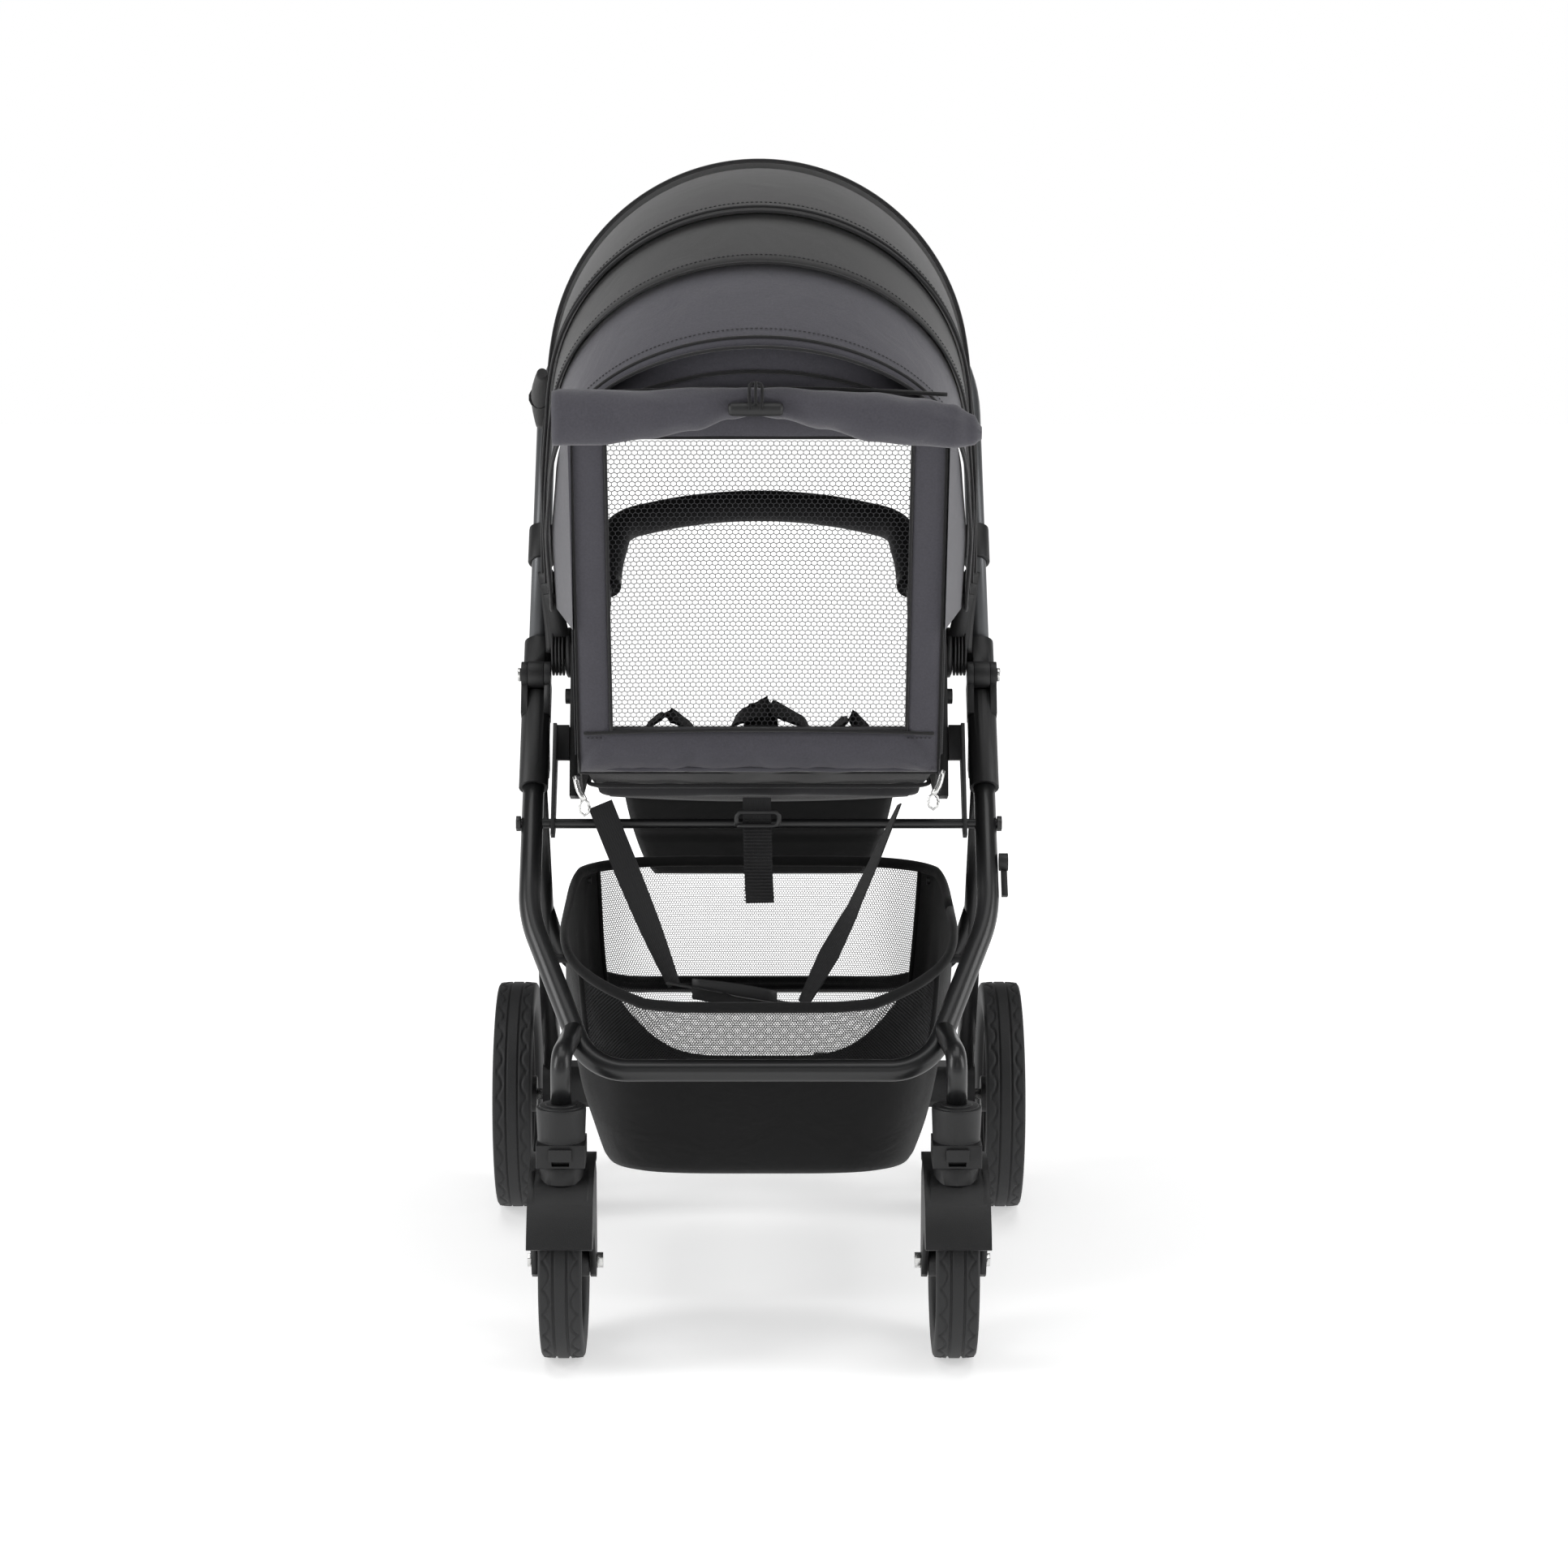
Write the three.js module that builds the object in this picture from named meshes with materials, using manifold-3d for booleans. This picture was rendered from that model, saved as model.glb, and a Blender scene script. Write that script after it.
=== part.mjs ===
// Pet stroller, built as separate named pieces in their rest pose.
// Units are millimetres, +Z is up, the swivel wheels and the seat back are towards -Y.
// Distances called "rear" run backwards from the front wheel axle, and the finished
// group is shifted so that its outline is centred on the origin and stands on Z = 0.
import * as THREE from "three";
import Module from "manifold-3d";

const wasm = await Module();
wasm.setup();
const { Manifold, Mesh: SolidMesh } = wasm;

// ---- driving dimensions -------------------------------------------------
const FRAME_HALF = 229; // centre of the side tubes from the middle
const TUBE_R = 11; // front frame tube
const UPPER_TUBE_R = 10; // handle and rear leg tube
const CROSSBAR = { y: 17, z: 281 }; // front crossbar
const SLOPE = { y: 0.64, z: 0.7684 }; // direction of the side tubes
const HINGE_RUN = 441.5; // crossbar to the fold hinge, along the tubes
const HANDLE_REACH = 552; // fold hinge to the handle crossbar, along the tubes
const HANDLE_CORNER = 210; // nearly a half circle, which clears the hood as it folds
const PIVOT_OFFSET = 18; // fold pivot in front of the tube axis
const SETBACK = 16; // tube ends short of the fold hinge

const FRONT_WHEEL = { x: FRAME_HALF - 39, y: 0, r: 95, half: 21, rim: 68 };
const REAR_WHEEL = { x: FRAME_HALF + 39, y: 530, r: 125, half: 21.5, rim: 93 };
const CASTER_TRAIL = 35; // swivel axis ahead of the front axle
const REAR_PIVOT = { y: 272, z: 540 };
const BEAM = { half: FRAME_HALF + 11, low: REAR_WHEEL.r - 11, high: REAR_WHEEL.r + 35, front: 508, back: 550 };
const CROSS_ROD = { y: 194, z: 493, r: 5 };

const HUB = { y: 300, z: 653 }; // seat recline and canopy pivot
const CANOPY_R = 500; // outermost canopy skin from the pivot
const CANOPY_HALF = 213; // outermost canopy skin from the middle
const SKIN = 2.5; // canopy skin thickness
const CANOPY_FOOT = 72; // lower edge of the skins from the pivot

const CABIN_HALF = 177; // outside of the seat cabin
const SEAT = { back: 137, front: 430, low: 527, high: 560 };
const BACK_FOOT = { y: 130, z: 548 };
const BACK_TOP = { y: -3, z: 912 };
const WINDOW = { half: CABIN_HALF - 28, low: 601, high: 890 };
const BUMPER = { y: 330, z: 700, half: CABIN_HALF - 27, reach: 500, top: 793, r: 17 };
const BASKET = { front: 62, back: 444, bottom: 138, wall: 3 };
const GAP = 0.35; // air between neighbouring pieces

// ---- geometry helpers ---------------------------------------------------
function solid(geometry) {
  const flat = geometry.index ? geometry.toNonIndexed() : geometry;
  const position = flat.getAttribute("position");
  const keys = new Map();
  const vertices = [];
  const triangles = [];
  for (let i = 0; i < position.count; i++) {
    const p = [position.getX(i), position.getY(i), position.getZ(i)];
    const key = p.map((v) => Math.round(v * 2000)).join();
    if (!keys.has(key)) {
      keys.set(key, vertices.length / 3);
      vertices.push(...p);
    }
    triangles.push(keys.get(key));
  }
  const kept = [];
  for (let i = 0; i < triangles.length; i += 3) {
    const [a, b, c] = triangles.slice(i, i + 3);
    if (a !== b && b !== c && a !== c) kept.push(a, b, c);
  }
  const mesh = new SolidMesh({
    numProp: 3,
    vertProperties: new Float32Array(vertices),
    triVerts: new Uint32Array(kept),
  });
  mesh.merge();
  return new Manifold(mesh);
}

function geometry(body) {
  const mesh = body.getMesh();
  const made = new THREE.BufferGeometry();
  made.setAttribute("position", new THREE.BufferAttribute(mesh.vertProperties, 3));
  made.setIndex(new THREE.BufferAttribute(mesh.triVerts, 1));
  return made;
}

const join = (...bodies) => Manifold.union(bodies);
const cut = (body, ...tools) => body.subtract(Manifold.union(tools));
const mirrored = (body) => body.mirror([1, 0, 0]);

// A box from its two corners.
function box(x0, x1, y0, y1, z0, z1) {
  const made = new THREE.BoxGeometry(x1 - x0, y1 - y0, z1 - z0);
  made.translate((x0 + x1) / 2, (y0 + y1) / 2, (z0 + z1) / 2);
  return solid(made);
}

// A round bar along X, or along Z when upright.
function barX(x0, x1, y, z, r, sides = 24) {
  const made = new THREE.CylinderGeometry(r, r, x1 - x0, sides);
  made.rotateZ(Math.PI / 2);
  made.translate((x0 + x1) / 2, y, z);
  return solid(made);
}

// A lathed body: profile points are [radius, height] around the Z axis.
function turned(profile, sides = 32) {
  const points = profile.map(([r, h]) => new THREE.Vector2(r, h));
  const made = new THREE.LatheGeometry(points, sides);
  made.rotateX(Math.PI / 2);
  return upright(solid(made));
}

// Profiles may run either way round; a body always faces outwards.
function upright(body) {
  if (body.volume() >= 0) return body;
  const mesh = body.getMesh();
  const order = mesh.triVerts;
  for (let i = 0; i < order.length; i += 3) {
    [order[i + 1], order[i + 2]] = [order[i + 2], order[i + 1]];
  }
  return new Manifold(
    new SolidMesh({ numProp: 3, vertProperties: mesh.vertProperties, triVerts: order }),
  );
}

// A flat plate seen from the side: outline points are [y, z], thick along X.
function plate(outline, x0, x1, holes = []) {
  const shape = new THREE.Shape(outline.map(([y, z]) => new THREE.Vector2(y, z)));
  for (const [y, z, r] of holes) {
    const hole = new THREE.Path();
    hole.absarc(y, z, r, 0, Math.PI * 2, true);
    shape.holes.push(hole);
  }
  const made = new THREE.ExtrudeGeometry(shape, {
    depth: x1 - x0,
    bevelEnabled: false,
    curveSegments: 10,
  });
  made.rotateZ(Math.PI / 2);
  made.rotateY(Math.PI / 2);
  made.translate(x0, 0, 0);
  return upright(solid(made));
}

// A polyline through the points with its corners rounded.
function path(points, radii, steps = 6) {
  const made = [points[0].clone()];
  for (let i = 1; i < points.length - 1; i++) {
    const before = points[i - 1].clone().sub(points[i]);
    const after = points[i + 1].clone().sub(points[i]);
    const angle = before.angleTo(after);
    const radius = radii[i - 1];
    const run = radius / Math.tan(angle / 2);
    const start = points[i].clone().addScaledVector(before.normalize(), run);
    const end = points[i].clone().addScaledVector(after.normalize(), run);
    const middle = before.clone().add(after).normalize();
    const centre = points[i].clone().addScaledVector(middle, radius / Math.sin(angle / 2));
    for (let k = 0; k <= steps; k++) {
      const turn = ((Math.PI - angle) * k) / steps;
      const axis = start.clone().sub(centre).cross(end.clone().sub(centre)).normalize();
      const arm = start.clone().sub(centre).applyAxisAngle(axis, turn);
      made.push(centre.clone().add(arm));
    }
  }
  made.push(points[points.length - 1].clone());
  return made;
}

// A bar of any section swept along a polyline; section points are [side, up].
function sweep(points, section) {
  const rings = [];
  let normal = null;
  for (let i = 0; i < points.length; i++) {
    const here = points[i];
    const a = i > 0 ? here.clone().sub(points[i - 1]).normalize() : null;
    const b = i < points.length - 1 ? points[i + 1].clone().sub(here).normalize() : null;
    const tangent = (a && b ? a.clone().add(b) : a || b).normalize();
    if (!normal) {
      const helper = Math.abs(tangent.x) < 0.9 ? new THREE.Vector3(1, 0, 0) : new THREE.Vector3(0, 1, 0);
      normal = helper.clone().cross(tangent).normalize();
    }
    normal.addScaledVector(tangent, -normal.dot(tangent)).normalize();
    const side = tangent.clone().cross(normal);
    const stretch = a && b ? 1 / Math.cos(a.angleTo(b) / 2) : 1;
    const bend = a && b ? b.clone().sub(a) : new THREE.Vector3();
    const inward = bend.lengthSq() > 1e-12 ? bend.normalize() : new THREE.Vector3();
    rings.push(
      section.map(([s, u]) => {
        const offset = side.clone().multiplyScalar(s).addScaledVector(normal, u);
        offset.addScaledVector(inward, offset.dot(inward) * (stretch - 1));
        return here.clone().add(offset);
      }),
    );
  }
  const n = section.length;
  const out = [];
  const push = (...vs) => vs.forEach((v) => out.push(v.x, v.y, v.z));
  for (let i = 0; i < rings.length - 1; i++) {
    for (let k = 0; k < n; k++) {
      const m = (k + 1) % n;
      push(rings[i][k], rings[i][m], rings[i + 1][m]);
      push(rings[i][k], rings[i + 1][m], rings[i + 1][k]);
    }
  }
  const first = rings[0];
  const last = rings[rings.length - 1];
  for (let k = 1; k < n - 1; k++) {
    push(first[0], first[k + 1], first[k]);
    push(last[0], last[k], last[k + 1]);
  }
  const made = new THREE.BufferGeometry();
  made.setAttribute("position", new THREE.Float32BufferAttribute(out, 3));
  return upright(solid(made));
}

function circle(r, sides = 16) {
  const made = [];
  for (let k = 0; k < sides; k++) {
    const a = (2 * Math.PI * k) / sides;
    made.push([r * Math.cos(a), r * Math.sin(a)]);
  }
  return made;
}

const v3 = (x, y, z) => new THREE.Vector3(x, y, z);
const tube = (points, r, sides = 16) => sweep(points, circle(r, sides));

// A closed skin between two matching grids of points.
function skin(outer, inner) {
  const out = [];
  const push = (...vs) => vs.forEach((v) => out.push(v.x, v.y, v.z));
  const quad = (a, b, c, d) => push(a, b, c, a, c, d);
  const rows = outer.length;
  const columns = outer[0].length;
  for (let i = 0; i < rows - 1; i++) {
    for (let j = 0; j < columns - 1; j++) {
      quad(outer[i][j], outer[i + 1][j], outer[i + 1][j + 1], outer[i][j + 1]);
      quad(inner[i][j], inner[i][j + 1], inner[i + 1][j + 1], inner[i + 1][j]);
    }
  }
  for (let j = 0; j < columns - 1; j++) {
    quad(outer[0][j], outer[0][j + 1], inner[0][j + 1], inner[0][j]);
    const e = rows - 1;
    quad(outer[e][j], inner[e][j], inner[e][j + 1], outer[e][j + 1]);
  }
  for (let i = 0; i < rows - 1; i++) {
    quad(outer[i][0], inner[i][0], inner[i + 1][0], outer[i + 1][0]);
    const e = columns - 1;
    quad(outer[i][e], outer[i + 1][e], inner[i + 1][e], inner[i][e]);
  }
  const made = new THREE.BufferGeometry();
  made.setAttribute("position", new THREE.Float32BufferAttribute(out, 3));
  return upright(solid(made));
}

// ---- the object's own layout -------------------------------------------
// A point on a side tube: run is measured along the tube from the crossbar.
const onTube = (x, run, off = 0) =>
  v3(x, CROSSBAR.y + SLOPE.y * run - SLOPE.z * off, CROSSBAR.z + SLOPE.z * run + SLOPE.y * off);
const hingeFoot = onTube(FRAME_HALF, HINGE_RUN);
const foldPivot = onTube(FRAME_HALF, HINGE_RUN, PIVOT_OFFSET);

const stroller = new THREE.Group();
stroller.name = "pet_stroller";

function add(name, body) {
  const mesh = new THREE.Mesh(geometry(body));
  mesh.name = name;
  stroller.add(mesh);
}

function addPair(name, right) {
  add(name + "_r", right);
  add(name + "_l", mirrored(right));
}

// ---- chassis: front frame ----------------------------------------------
function frontFrame() {
  const u = path(
    [
      onTube(FRAME_HALF, HINGE_RUN - SETBACK),
      onTube(FRAME_HALF, 170),
      onTube(FRAME_HALF - 64, 0),
      onTube(64 - FRAME_HALF, 0),
      onTube(-FRAME_HALF, 170),
      onTube(-FRAME_HALF, HINGE_RUN - SETBACK),
    ],
    [150, 55, 55, 150],
  );
  const stem = path(
    [
      onTube(FRONT_WHEEL.x - 9, 44),
      v3(FRONT_WHEEL.x, -CASTER_TRAIL, 308),
      v3(FRONT_WHEEL.x, -CASTER_TRAIL, 262 + GAP),
    ],
    [18],
    4,
  );
  const rightStem = tube(stem, 10, 14);
  const rodHole = barX(-FRAME_HALF - 31, FRAME_HALF + 31, CROSS_ROD.y, CROSS_ROD.z, CROSS_ROD.r + GAP, 16);
  return cut(join(tube(u, TUBE_R), rightStem, mirrored(rightStem)), rodHole);
}

// Round socket with stepped rings on top and the square lock collar below it.
function casterSocket() {
  const profile = [
    [0, 203],
    [20, 203],
    [22, 206],
    [24, 255],
    [24, 259],
    [21, 259],
    [21, 260.5],
    [15, 260.5],
    [15, 262],
    [0, 262],
  ];
  const shell = turned(profile, 28).translate([FRONT_WHEEL.x, -CASTER_TRAIL, 0]);
  const x = FRONT_WHEEL.x;
  const y = -CASTER_TRAIL;
  const collar = box(x - 23.5, x + 23.5, y - 23.5, y + 23.5, 203, 226);
  const bore = turned([[0, 190], [7, 190], [7, 245], [0, 245]], 20).translate([x, y, 0]);
  const slot = box(x - 8.4, x + 8.4, y - 30, y - 16, 205.5, 219.5);
  return cut(join(shell, collar), bore, slot);
}

// Lock tab that slides down out of the collar.
function swivelLock() {
  const x = FRONT_WHEEL.x;
  const y = -CASTER_TRAIL;
  const tongue = box(x - 8, x + 8, y - 25, y - 16.5, 213, 219);
  const tab = box(x - 11, x + 11, y - 29, y - 23.5 - GAP, 211, 223);
  return join(tongue, tab);
}

// Fork that carries the wheel: pin, fender over the tyre and two legs.
function casterFork() {
  const x = FRONT_WHEEL.x;
  const z = FRONT_WHEEL.r;
  const leg = 31.5;
  const inner = 25.5;
  const pin = turned([[0, 190], [6.6, 190], [6.6, 242], [0, 242]], 20);
  const neck = turned([[0, 186], [23, 186], [21, 202], [0, 202]], 24);
  const top = join(pin, neck).translate([x, -CASTER_TRAIL, 0]);
  const fender = [];
  for (let k = 0; k <= 10; k++) {
    const a = ((22 + 78 * (k / 10)) * Math.PI) / 180;
    fender.push([-106 * Math.cos(a), z + 106 * Math.sin(a)]);
  }
  for (let k = 10; k >= 0; k--) {
    const a = ((22 + 78 * (k / 10)) * Math.PI) / 180;
    fender.push([-99 * Math.cos(a), z + 99 * Math.sin(a)]);
  }
  const cover = plate(fender, x - leg, x + leg);
  const outline = [
    [-97, 135],
    [-70, 176],
    [-40, 195],
    [-6, 199],
    [12, 180],
    [15, 104],
    [12, 84],
    [0, 78],
    [-12, 84],
    [-20, 104],
    [-52, 140],
    [-80, 130],
  ];
  const rightLeg = plate(outline, x + inner, x + leg);
  const leftLeg = plate(outline, x - leg, x - inner);
  const hole = barX(x - 40, x + 40, 0, z, 4 + GAP, 16);
  const room = barX(x - inner + 0.01, x + inner - 0.01, 0, z, 99, 40);
  return cut(join(cut(join(top, cover), room), rightLeg, leftLeg), hole);
}

function frontAxle() {
  const x = FRONT_WHEEL.x;
  const z = FRONT_WHEEL.r;
  const bolt = barX(x - 36, x + 35, 0, z, 4, 16);
  const head = barX(x - 38, x - 31.5 - GAP, 0, z, 8, 6);
  const nut = barX(x + 31.5 + GAP, x + 36, 0, z, 7, 6);
  return join(bolt, head, nut);
}

// Tyre section: rounded tread over a narrower bead.
function tyre(wheel) {
  const { r, rim, half } = wheel;
  const section = [
    [rim, -half * 0.62],
    [rim + 10, -half * 0.95],
    [r - 12, -half],
    [r - 4, -half * 0.82],
    [r, -half * 0.42],
    [r, half * 0.42],
    [r - 4, half * 0.82],
    [r - 12, half],
    [rim + 10, half * 0.95],
    [rim, half * 0.62],
    [rim, -half * 0.62],
  ];
  const body = turned(section, 36);
  return body.rotate([0, 90, 0]).translate([wheel.x, wheel.y, r]);
}

// Five-spoke rim with its hub.
function rim(wheel, hubR, hubHalf, bore) {
  const { r, rim: bead, half } = wheel;
  const outer = bead - GAP;
  const width = half * 0.6;
  const ring = turned(
    [
      [outer - 9, -width],
      [outer, -width],
      [outer, width],
      [outer - 9, width],
      [outer - 9, -width],
    ],
    36,
  );
  const hub = turned([[bore, -hubHalf], [hubR, -hubHalf], [hubR, hubHalf], [bore, hubHalf], [bore, -hubHalf]], 24);
  const spokes = [];
  for (let k = 0; k < 5; k++) {
    const spoke = box(hubR - 3, outer - 6, -7, 7, -width * 0.7, width * 0.7);
    spokes.push(spoke.rotate([0, 0, 72 * k + 90]));
  }
  const body = join(ring, hub, ...spokes);
  return body.rotate([0, 90, 0]).translate([wheel.x, wheel.y, r]);
}

// Outline given as [run, off] beside the tube, counted from the fold hinge.
const beside = (outline) =>
  outline.map(([run, off]) => {
    const p = onTube(0, HINGE_RUN + run, off);
    return [p.y, p.z];
  });

// The same outline on both sides of the knuckle.
function cheeks(outline, x, near, far) {
  return join(plate(outline, x + near, x + far), plate(outline, x - far, x - near));
}

function cheekDiscs(at, x, near, far, r) {
  return join(barX(x + near, x + far, at.y, at.z, r, 28), barX(x - far, x - near, at.y, at.z, r, 28));
}

// Sleeve on the top of the front tube: cheeks for the fold hinge, ears for the rear leg.
function lowerHinge() {
  const x = FRAME_HALF;
  const sleeve = tube([onTube(x, HINGE_RUN - 124), onTube(x, HINGE_RUN - 1.5)], 15, 20);
  const web = beside([
    [-1.5, 18],
    [-13, 20],
    [-42, 12],
    [-42, -8],
    [-1.5, -8],
  ]);
  const ear = [
    ...beside([[-100, 0]]),
    [REAR_PIVOT.y - 6, REAR_PIVOT.z - 13],
    [REAR_PIVOT.y + 12, REAR_PIVOT.z - 7],
    [REAR_PIVOT.y + 12, REAR_PIVOT.z + 9],
    ...beside([[-30, 0]]),
  ];
  // Room for the leg from its standing place to its folded one.
  const legSweep = [
    [REAR_PIVOT.y - 11, REAR_PIVOT.z + 3],
    [REAR_PIVOT.y - 23, REAR_PIVOT.z - 42],
    [REAR_PIVOT.y + 40, REAR_PIVOT.z - 42],
    [REAR_PIVOT.y + 40, REAR_PIVOT.z + 13],
  ];
  const slot = join(
    barX(x - 8.5, x + 8.5, foldPivot.y, foldPivot.z, 15.5, 28),
    barX(x - 8.5, x + 8.5, REAR_PIVOT.y, REAR_PIVOT.z, 14, 28),
    plate(legSweep, x - 8.5, x + 8.5),
  );
  const bores = join(
    tube([onTube(x, HINGE_RUN - 140), onTube(x, HINGE_RUN - SETBACK + GAP)], TUBE_R + GAP),
    barX(x - 30, x + 30, foldPivot.y, foldPivot.z, 4 + GAP, 16),
    barX(x - 30, x + 30, REAR_PIVOT.y, REAR_PIVOT.z, 4 + GAP, 16),
  );
  const body = join(
    sleeve,
    cheeks(web, x, 8.5, 15),
    cheekDiscs(foldPivot, x, 8.5, 15, 13.5),
    plate(ear, x - 13.5, x + 13.5),
  );
  return cut(body, slot, bores);
}

// Knuckle and dome on the foot of the handle tube.
function upperHinge() {
  const x = FRAME_HALF;
  const sleeve = tube([onTube(x, HINGE_RUN + 1.5), onTube(x, HINGE_RUN + 50)], 14.5, 20);
  const arm = beside([
    [1.5, 18],
    [13, 19],
    [36, 12],
    [36, -8],
    [1.5, -8],
  ]);
  const knuckle = join(
    plate(arm, x - 8, x + 8),
    barX(x - 8, x + 8, foldPivot.y, foldPivot.z, 14, 28),
  );
  const relief = cheekDiscs(foldPivot, x, 8, 20, 15);
  const bores = join(
    tube([onTube(x, HINGE_RUN + SETBACK - GAP), onTube(x, HINGE_RUN + 70)], UPPER_TUBE_R + GAP),
    barX(x - 30, x + 30, foldPivot.y, foldPivot.z, 4 + GAP, 16),
  );
  return cut(join(cut(sleeve, relief), knuckle), bores);
}

function foldPin() {
  const x = FRAME_HALF;
  const { y, z } = foldPivot;
  const pin = barX(x - 14.5, x + 17, y, z, 4, 16);
  const head = barX(x + 15 + GAP, x + 19, y, z, 7, 16);
  return join(pin, head);
}

// ---- handle -------------------------------------------------------------
const handlePath = path(
  [
    onTube(FRAME_HALF, HINGE_RUN + SETBACK),
    onTube(FRAME_HALF, HINGE_RUN + HANDLE_REACH),
    onTube(-FRAME_HALF, HINGE_RUN + HANDLE_REACH),
    onTube(-FRAME_HALF, HINGE_RUN + SETBACK),
  ],
  [HANDLE_CORNER, HANDLE_CORNER],
  7,
);

function handleGrip() {
  const gripPath = handlePath.slice(4, handlePath.length - 4);
  const inner = tube(handlePath, UPPER_TUBE_R + GAP);
  return cut(tube(gripPath, 17), inner);
}

function foldSlider() {
  const body = tube([onTube(FRAME_HALF, HINGE_RUN + 150), onTube(FRAME_HALF, HINGE_RUN + 192)], 14.2, 18);
  const bore = tube([onTube(FRAME_HALF, HINGE_RUN + 140), onTube(FRAME_HALF, HINGE_RUN + 200)], UPPER_TUBE_R + GAP);
  return cut(body, bore);
}

// ---- rear frame ---------------------------------------------------------
function rearFrame() {
  const foot = v3(FRAME_HALF, (BEAM.front + BEAM.back) / 2 + 6, BEAM.high - 22);
  const head = v3(FRAME_HALF, REAR_PIVOT.y, REAR_PIVOT.z);
  const leg = tube([head.clone().lerp(foot, 0.01), foot], UPPER_TUBE_R);
  const eye = barX(FRAME_HALF - 8, FRAME_HALF + 8, REAR_PIVOT.y, REAR_PIVOT.z, 12.5, 24);
  const clear = box(FRAME_HALF + 8, FRAME_HALF + 20, REAR_PIVOT.y - 20, REAR_PIVOT.y + 22, REAR_PIVOT.z - 32, REAR_PIVOT.z + 20);
  const clearIn = box(FRAME_HALF - 20, FRAME_HALF - 8, REAR_PIVOT.y - 20, REAR_PIVOT.y + 22, REAR_PIVOT.z - 32, REAR_PIVOT.z + 20);
  const seat = box(0, 300, BEAM.front - GAP, BEAM.back + GAP, 0, BEAM.high + GAP);
  const pin = barX(FRAME_HALF - 14, FRAME_HALF + 15, REAR_PIVOT.y, REAR_PIVOT.z, 4, 16);
  const side = join(cut(join(leg, eye), clear, clearIn, seat), pin);
  const t = (REAR_PIVOT.z - 372) / (REAR_PIVOT.z - foot.z);
  const start = head.clone().lerp(foot, t);
  const bow = path(
    [
      start,
      v3(FRAME_HALF - 24, 452, 268),
      v3(24 - FRAME_HALF, 452, 268),
      v3(-start.x, start.y, start.z),
    ],
    [90, 90],
    6,
  );
  return join(side, mirrored(side), tube(bow, 9, 14));
}

// D-shaped strap ring on the front face of the beam.
function strapRing() {
  const x = 178;
  const y = BEAM.front + 1;
  const body = box(x - 10, x + 10, y - 4, y, BEAM.low + 8, BEAM.low + 28);
  const loop = box(x - 8, x + 8, y - 10, y, BEAM.low - 1, BEAM.low + 12);
  return cut(join(body, loop), box(x - 5, x + 5, y - 7, y + 1, BEAM.low - 9, BEAM.low + 7));
}

// Moulded beam with two ears for the pedal and two strap rings.
function axleBeam() {
  const { half, low, high, front, back } = BEAM;
  const outline = [
    [front + 6, low],
    [back - 6, low],
    [back, low + 8],
    [back, high - 8],
    [back - 6, high],
    [front + 6, high],
    [front, high - 8],
    [front, low + 8],
  ];
  const body = plate(outline, -half, half);
  const ear = [
    [back - 2, low + 16],
    [back + 18, low + 16],
    [back + 18, low + 38],
    [back - 2, low + 38],
  ];
  const ears = join(plate(ear, 52, 58), plate(ear, 142, 148));
  const bore = barX(-300, 300, REAR_WHEEL.y, REAR_WHEEL.r, 6 + GAP, 20);
  const pinHole = barX(40, 160, back + 10, low + 27, 3 + GAP, 12);
  const ring = strapRing();
  return join(cut(join(body, ears), bore, pinHole), ring, mirrored(ring));
}

function brakePedal() {
  const y = BEAM.back + 10;
  const z = BEAM.low + 27;
  const barrel = barX(58 + GAP, 142 - GAP, y, z, 8, 18);
  const pin = barX(50, 150, y, z, 3, 12);
  const pad = plate(
    [
      [y, z],
      [y + 12, z + 8],
      [y + 52, z + 11],
      [y + 54, z + 5],
      [y + 12, z - 2],
    ],
    62,
    138,
  );
  return join(barrel, pin, pad);
}

const rearAxle = () => barX(-REAR_WHEEL.x - 20, REAR_WHEEL.x + 20, REAR_WHEEL.y, REAR_WHEEL.r, 6, 20);

// ---- chassis: seat mounts ----------------------------------------------
function crossRod() {
  const { y, z, r } = CROSS_ROD;
  const end = FRAME_HALF + TUBE_R + GAP;
  const heads = join(barX(end, end + 5, y, z, 8, 6), barX(-end - 5, -end, y, z, 8, 6));
  return join(barX(-end - 2, end + 2, y, z, r, 16), heads);
}

// Plate from the cross rod up to the socket that takes the seat.
function seatReceiver() {
  const rod = CROSS_ROD;
  const web = plate(
    [
      [rod.y - 16, rod.z - 8],
      [rod.y - 4, rod.z - 14],
      [rod.y + 12, rod.z - 10],
      [262, 548],
      [276, 575],
      [246, 588],
      [226, 556],
    ],
    206,
    210,
    [[rod.y, rod.z, rod.r + GAP]],
  );
  const socket = plate(
    [
      [232, 552],
      [262, 546],
      [274, 574],
      [246, 586],
    ],
    193 + GAP,
    206.5,
  );
  return join(web, socket);
}

// Upright that clicks into the receiver and carries the seat at the hub.
function seatUpright() {
  return plate(
    [
      [226, 516],
      [252, 508],
      [268, 540],
      [318, 630],
      [326, 660],
      [312, 680],
      [290, 680],
      [276, 662],
      [268, 630],
      [240, 560],
    ],
    184,
    193,
    [
      [HUB.y, HUB.z, 7 + GAP],
      [282, 610, 8 + GAP],
    ],
  );
}

const releaseButton = () => barX(189, 199, 282, 610, 8, 20);

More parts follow.
